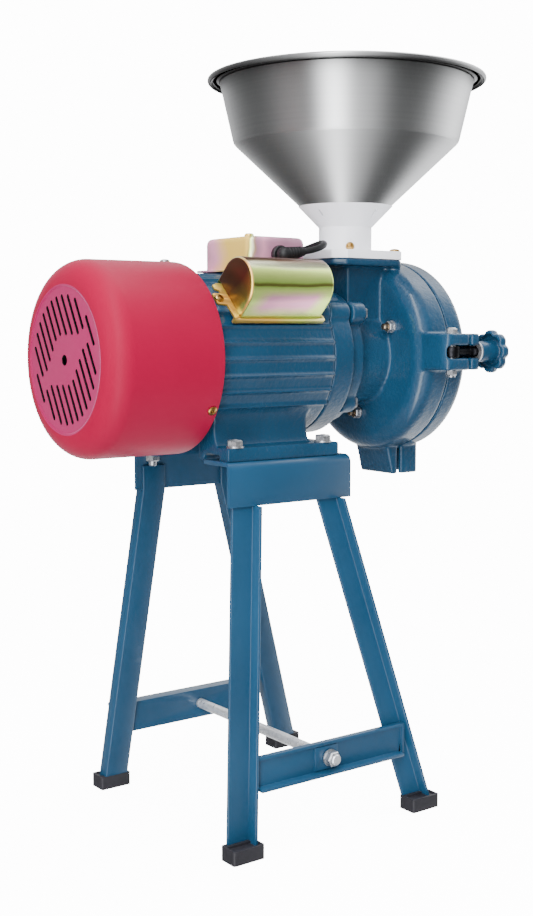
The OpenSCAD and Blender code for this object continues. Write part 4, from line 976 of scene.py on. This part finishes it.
def electrics():
    plate = pressed("terminal_plate", [(x + PLATE_X, y) for x, y in rounded_box(77, 78, 3)],
                    PLATE_TOP - 2, PLATE_TOP)
    fit(rounded(plate, 0.5), BOX_GOLD, "base", "terminal_box_base")
    fit(terminal_lid(), BOX_GOLD, "base", "terminal_box_lid")
    seat = (88, 0, PLATE_TOP + LID_TALL)
    head = turned("lid_screw", [(0, 0), (4.6, 0), (4.6, 3), (4.1, 4.2), (2.9, 4.8), (0, 5)], seat, Z, 32)
    cut(head, pressed("slot", box(-6, -0.5, 6, 0.5), 3.6, 6, seat))
    fit(rounded(head, 0.2, 1), BOX_GOLD, "base", "terminal_box_screw")
    dress(terminal_block=BROWN, capacitor=CAN)
    gland()
    capacitor_box()


def terminal_lid():
    """The pressed lid: upright walls with rounded corners and a soft top edge."""
    half_x, half_y = 33.5, 38
    rings = [(0.0, 0.0, 9), (0.0, 24.0, 9), (0.4, 26.2, 8.8), (1.4, 28.2, 8), (3.0, 29.5, 7),
             (5.2, LID_TALL, 5.6)]
    verts = []
    for inset, z, r in rings:
        loop = corner_run(box(-half_x + inset, -half_y + inset, half_x - inset, half_y - inset), r)
        verts += [(LID_X + x, y, PLATE_TOP + z) for x, y in loop]
    n = len(verts) // len(rings)
    faces = wall(len(rings), n) + [list(range(n))[::-1], list(range(len(verts) - n, len(verts)))]
    return outward(workpiece("terminal_lid", verts, faces))


def gland():
    """Rubber sleeve where the cord leaves the box: a nut on the wall, an elbow and a ringed thin neck."""
    bend, leads = Vector((94, -47, 95)), Vector((0.95, -0.261, 0.17)).normalized()
    nut = turned("gland_nut", [(0, 3.9), (8.2, 3.9), (8.8, 4.6), (8.8, 8.4), (8, 9.2), (0, 9.2)],
                 bend + Vector((0, 13, 0)), (0, -1, 0), 48)
    elbow = [(0, -7)] + [(7.2 * math.sin(a), -7.2 * math.cos(a)) for a in (0.3, 0.6, 0.9, 1.2, 1.5)]
    rings = ribs(1.2, 18, 2.8, lambda x: 6.9 - 2.4 * x / 20, 1.6, (1.85, 2.55))
    neck = turned("gland_neck", elbow + [(7.1, 0.5)] + rings + [(4.2, 19.4), (3.9, 20), (0, 20)],
                  bend, leads, 48)
    fit(joined(nut, neck), RUBBER, "base", "cable_gland")


def arch(width, height, steps=32):
    """Half-round arch on straight sides, its foot on the axis line."""
    r = width / 2
    top = [(r * math.cos(math.pi * k / steps), height - r + r * math.sin(math.pi * k / steps))
           for k in range(steps + 1)]
    return [(r, 0)] + top + [(-r, 0)]


def capacitor_box():
    seat = (cap_spot(0, -2, 75), CAP_ACROSS, CAP_OUT, X)
    hood = edge_soft(pressed("capacitor_hood", arch(48, 45), 24, 117, *seat), 3.4, 5)
    cut(hood, pressed("hollow", box(-22.8, -4, 22.8, 5.3), 20, 120, *seat))
    # The hood's bands are partly passivation hue and partly painted highlight and reflection.
    fit(hood, HOOD_GOLD, "base", "capacitor_cover")
    # Painted reflection: the end faces turned towards the fan cover take the dark brown copy.
    second(hood, CAP_END_REFLECTION, lambda at, out: out.x < -0.85)
    # Painted reflection on the rounded edge between the hood's end and its body.
    second(hood, EDGE_REFLECTION, lambda at, out: at.x < 26.8 and -0.85 <= out.x < -0.1)
    softened("bracket_strip", "capacitor_bracket", GOLD, 0.5)
    heads = [cross_screw("bracket_screw", cap_spot(x, -4, 80), CAP_OUT, 4.3, 2.6, 2.8, 1.1)
             for x in (12.5, 109.5)]
    fit(joined(*heads), BRASS, "base", "capacitor_screws")


def edge_soft(o, width, segments):
    """Rounds only the two end rims of a hood, as pressing does."""
    b = bmesh.new()
    b.from_mesh(o.data)
    rims = []
    for e in b.edges:
        f = e.link_faces
        if len(f) == 2 and f[0].normal.angle(f[1].normal) > 1.2 and max(len(f[0].verts), len(f[1].verts)) > 8:
            rims.append(e)
    bmesh.ops.bevel(b, geom=rims, offset=width * MM, segments=segments, profile=0.5, affect="EDGES",
                    clamp_overlap=True)
    b.to_mesh(o.data)
    b.free()
    return o


# ---------------------------------------------------------------- mill
def mill():
    cast("grinding_housing", "mill_housing", grain=1.7, rounds=4)
    cast("hinged_cover", "front_cover", grain=1.7, rounds=4, body="cover")
    dress(cover_seal=RUBBER, hinge_pin=ZINC, static_disc=IRON, rotating_disc=IRON, feed_auger=GROUND,
          thrust_pad=GROUND)
    joint_bolts()
    latch()
    adjuster()


def joint_bolts():
    flange, upper, lower = 177, (57.44, 41.73), (43.84, -43.84)
    corners = [(flange, s * y, z) for y, z in (upper, lower) for s in (-1, 1)]
    heads = fasteners("joint_bolts", [(at, X) for at in corners], 13, 4.4, 7.4, (2.6, 0.1), 0.3)
    fit(heads, ZINC, "base", "mill_bolts")
    # The end of the lower near joint bolt is coloured pink.
    second(heads, PINK_TIP, lambda at, out: at.y < 0 and at.z < 0 and at.x > flange + 4)
    seat, nut_face, studs = 225, 218.4, [(-50, 29), (50, 29), (0, -58)]
    nuts = fasteners("disc_stud_nuts", [((seat, y, z), (-1, 0, 0)) for y, z in studs], 10, 5, 6, (3, 5))
    wound = [thread("stud_thread", (nut_face, y, z), (-1, 0, 0), 3, 1.0, 5.2, ZINC) for y, z in studs]
    ends = fit(joined(nuts, *wound), ZINC, "base", "disc_studs")
    second(ends, BARE_STUD, lambda at, out: at.x < nut_face + 0.4)


def star_knob():
    """Star knob: a long neck into an eight-lobed rim, hollowed round the neck at its back."""
    lobes, hollow, n, bore, widest, back = 8, 2.6, 128, 5.05, 20.8, LATCH.x + 33.4
    rings = [(9.2, 0, 0), (9.8, 0.7, 0), (10, 2.5, 0), (10, 18, 0), (10.6, 20, 0), (12, 20.9, 0),
             (14.4, 20.8, 0), (15.8, 19.6, 0), (16.4, 17.6, 0.1), (16.9, 16.2, 0.5), (17.9, 15.6, 0.8),
             (19.3, 15.9, 1), (20.4, 17.1, 1), (widest, 18.8, 1), (widest, 21.6, 1), (20.4, 23.3, 1),
             (19.4, 24.3, 1), (17.6, 24.6, 0.7), (9, 24.6, 0), (6, 24.5, 0), (bore, 23.9, 0), (bore, 0, 0)]
    verts = []
    for r, d, lobed in rings:
        for a in (2 * math.pi * k / n for k in range(n)):
            dent = (0.5 - 0.5 * math.cos(lobes * a)) ** 2.4
            q = r - lobed * hollow * dent * (r / widest)
            verts.append((back + d, LATCH.y + q * math.cos(a), LATCH.z + q * math.sin(a)))
    last = len(verts) - n
    faces = wall(len(rings), n) + [[last + k, last + (k + 1) % n, (k + 1) % n, k] for k in range(n)]
    return outward(workpiece("lobed_star_knob", verts, faces))


def latch():
    eye = turned("eye_bolt_rod", [(0, 0), (4.55, 0), (4.55, 59.8), (4.0, 60.8), (0, 61)], LATCH, X, 40)
    ring = turned("eye_bolt_eye", [(4.05, -5.2), (7.0, -5.4), (7.7, -4.4), (7.7, 4.4), (7.0, 5.4),
                                   (4.05, 5.2)], LATCH, Z, 48)
    wound = thread("eye_bolt_thread", LATCH + Vector((20, 0, 0)), X, 5, 1.5, 39, DARK)
    fit(joined(eye, ring, wound), DARK, "latch", "eye_bolt")
    disc = turned("knob_washer", [(5.1, 31.35), (9.7, 31.35), (10, 31.6), (10, 33.0), (9.7, 33.25),
                                  (5.1, 33.25)], LATCH, X, 48)
    fit(disc, ZINC, "latch_slider", "latch_washer")
    fit(star_knob(), BLUE_CAST, "knob", "star_knob", angle=50)
    pin = rod("latch_pin_rod", LATCH - Vector((0, 0, 24)), Z, 4, 42, 0.6)
    ends = fasteners("latch_pin_ends", [(LATCH + Vector((0, 0, s * 17.5)), (0, 0, s)) for s in (1, -1)],
                     9.5, 4.3, 5.6, (4, 0.2), 0.4)
    fit(joined(ends, pin), ZINC, "base", "latch_pin")


def adjuster():
    screw = rod("adjusting_screw_rod", (264.7, 0, 0), X, 7.6, 65.3, 1.2, 48)
    wound = thread("adjusting_thread", (270, 0, 0), X, 8, 2.0, 44, ZINC)
    fit(joined(screw, wound), ZINC, "adjuster", "adjusting_screw")
    softened("adjusting_grip", "adjusting_knob", BLACK, 1.6, 3, "adjuster")
    softened("lock_nut", "adjusting_lock_nut", ZINC, 0.6, 2, "adjuster")


# ---------------------------------------------------------------- collar and hopper
def feed():
    collar = rounded(traced("collar_body", "feed_collar"), 0.9, 3, 40)
    fit(collar, WHITE, "base", "feed_collar", angle=35)
    heads = [cross_screw("collar_screw", (MILL_X + x, y, 103), Z, 5.2, 3, 3.2, 1.1)
             for x, y in ((34, -36), (-34, 36))]
    a = math.radians(-119.5)                  # the way that the screw in the collar's neck points
    out = Vector((math.cos(a), math.sin(a), 0))
    side = Vector((MILL_X, 0, 107.4)) + out * 26.4
    heads.append(turned("neck_washer", [(0, 0), (4.2, 0), (4.2, 0.8), (0, 0.8)], side, out, 40))
    heads.append(cross_screw("neck_screw", side + out * 0.8, out, 3.6, 2.6))
    fit(joined(*heads), BRASS, "base", "collar_screws")
    shell = fit(hopper_shell(), STEEL, "base", "hopper", angle=50)
    cone, bend, upper, rim, rim_r = 148.2, 207.8, 210.2, 267.4, 124   # where the steel's finish, its lighter and darker copies, and the painted highlight on the bend change
    # The rim takes the darker copy of the steel, as painted shade.
    second(shell, RIM_STEEL, lambda at, out: at.z > rim)
    # Painted shade on the downward faces under the rim.
    second(shell, RIM_SHADE,
           lambda at, out: at.z > rim - 0.5 and out.z < -0.05 and math.hypot(at.x - MILL_X, at.y) > rim_r)
    # The cone takes the lighter copy of the steel, as painted light.
    second(shell, CONE_STEEL, lambda at, out: cone < at.z < bend)
    # Painted highlight along the bend.
    second(shell, BEND_HIGHLIGHT, lambda at, out: bend < at.z < upper)


def hopper_shell():
    """The hopper in one wall: tube, cone, a soft corner, the upper wall and a rolled rim."""
    low, top, tall, drop = 45.6, 112, 62, 21.5      # the cone's radii and height, and its run below them
    neck = low - (top - low) / tall * drop
    outer = [(neck - 0.05, 104.2), (neck - 0.05, 126.0), (neck + 0.6, 127.4), (low - 0.15, 148.0),
             (109.5, 207.66), (111.2, 209.7), (112.1, 212.4), (112.9, 216.0), (124.6, 267.0), (125.6, 268.1),
             (131.5, 268.3)]
    curl = [(134.5 + 2.45 * math.cos(t), 269.5 + 2.45 * math.sin(t))
            for t in (math.radians(-120 + 24 * i) for i in range(13))]
    inner = [(131.5, 269.3), (125.2, 269.1), (123.8, 268.0), (123.5, 267.2), (111.9, 216.2), (111.1, 212.8),
             (110.2, 210.4), (108.7, 208.5), (44.7, 148.7), (neck - 0.5, 127.9), (neck - 1.05, 126.2),
             (neck - 1.05, 104.2)]
    return turned("hopper_shell", outer + curl + inner, (MILL_X, 0, 0), Z, 192)


stand()
motor()
electrics()
mill()
feed()
softened("hank_band", "cord_tie", RUBBER, 0.8)
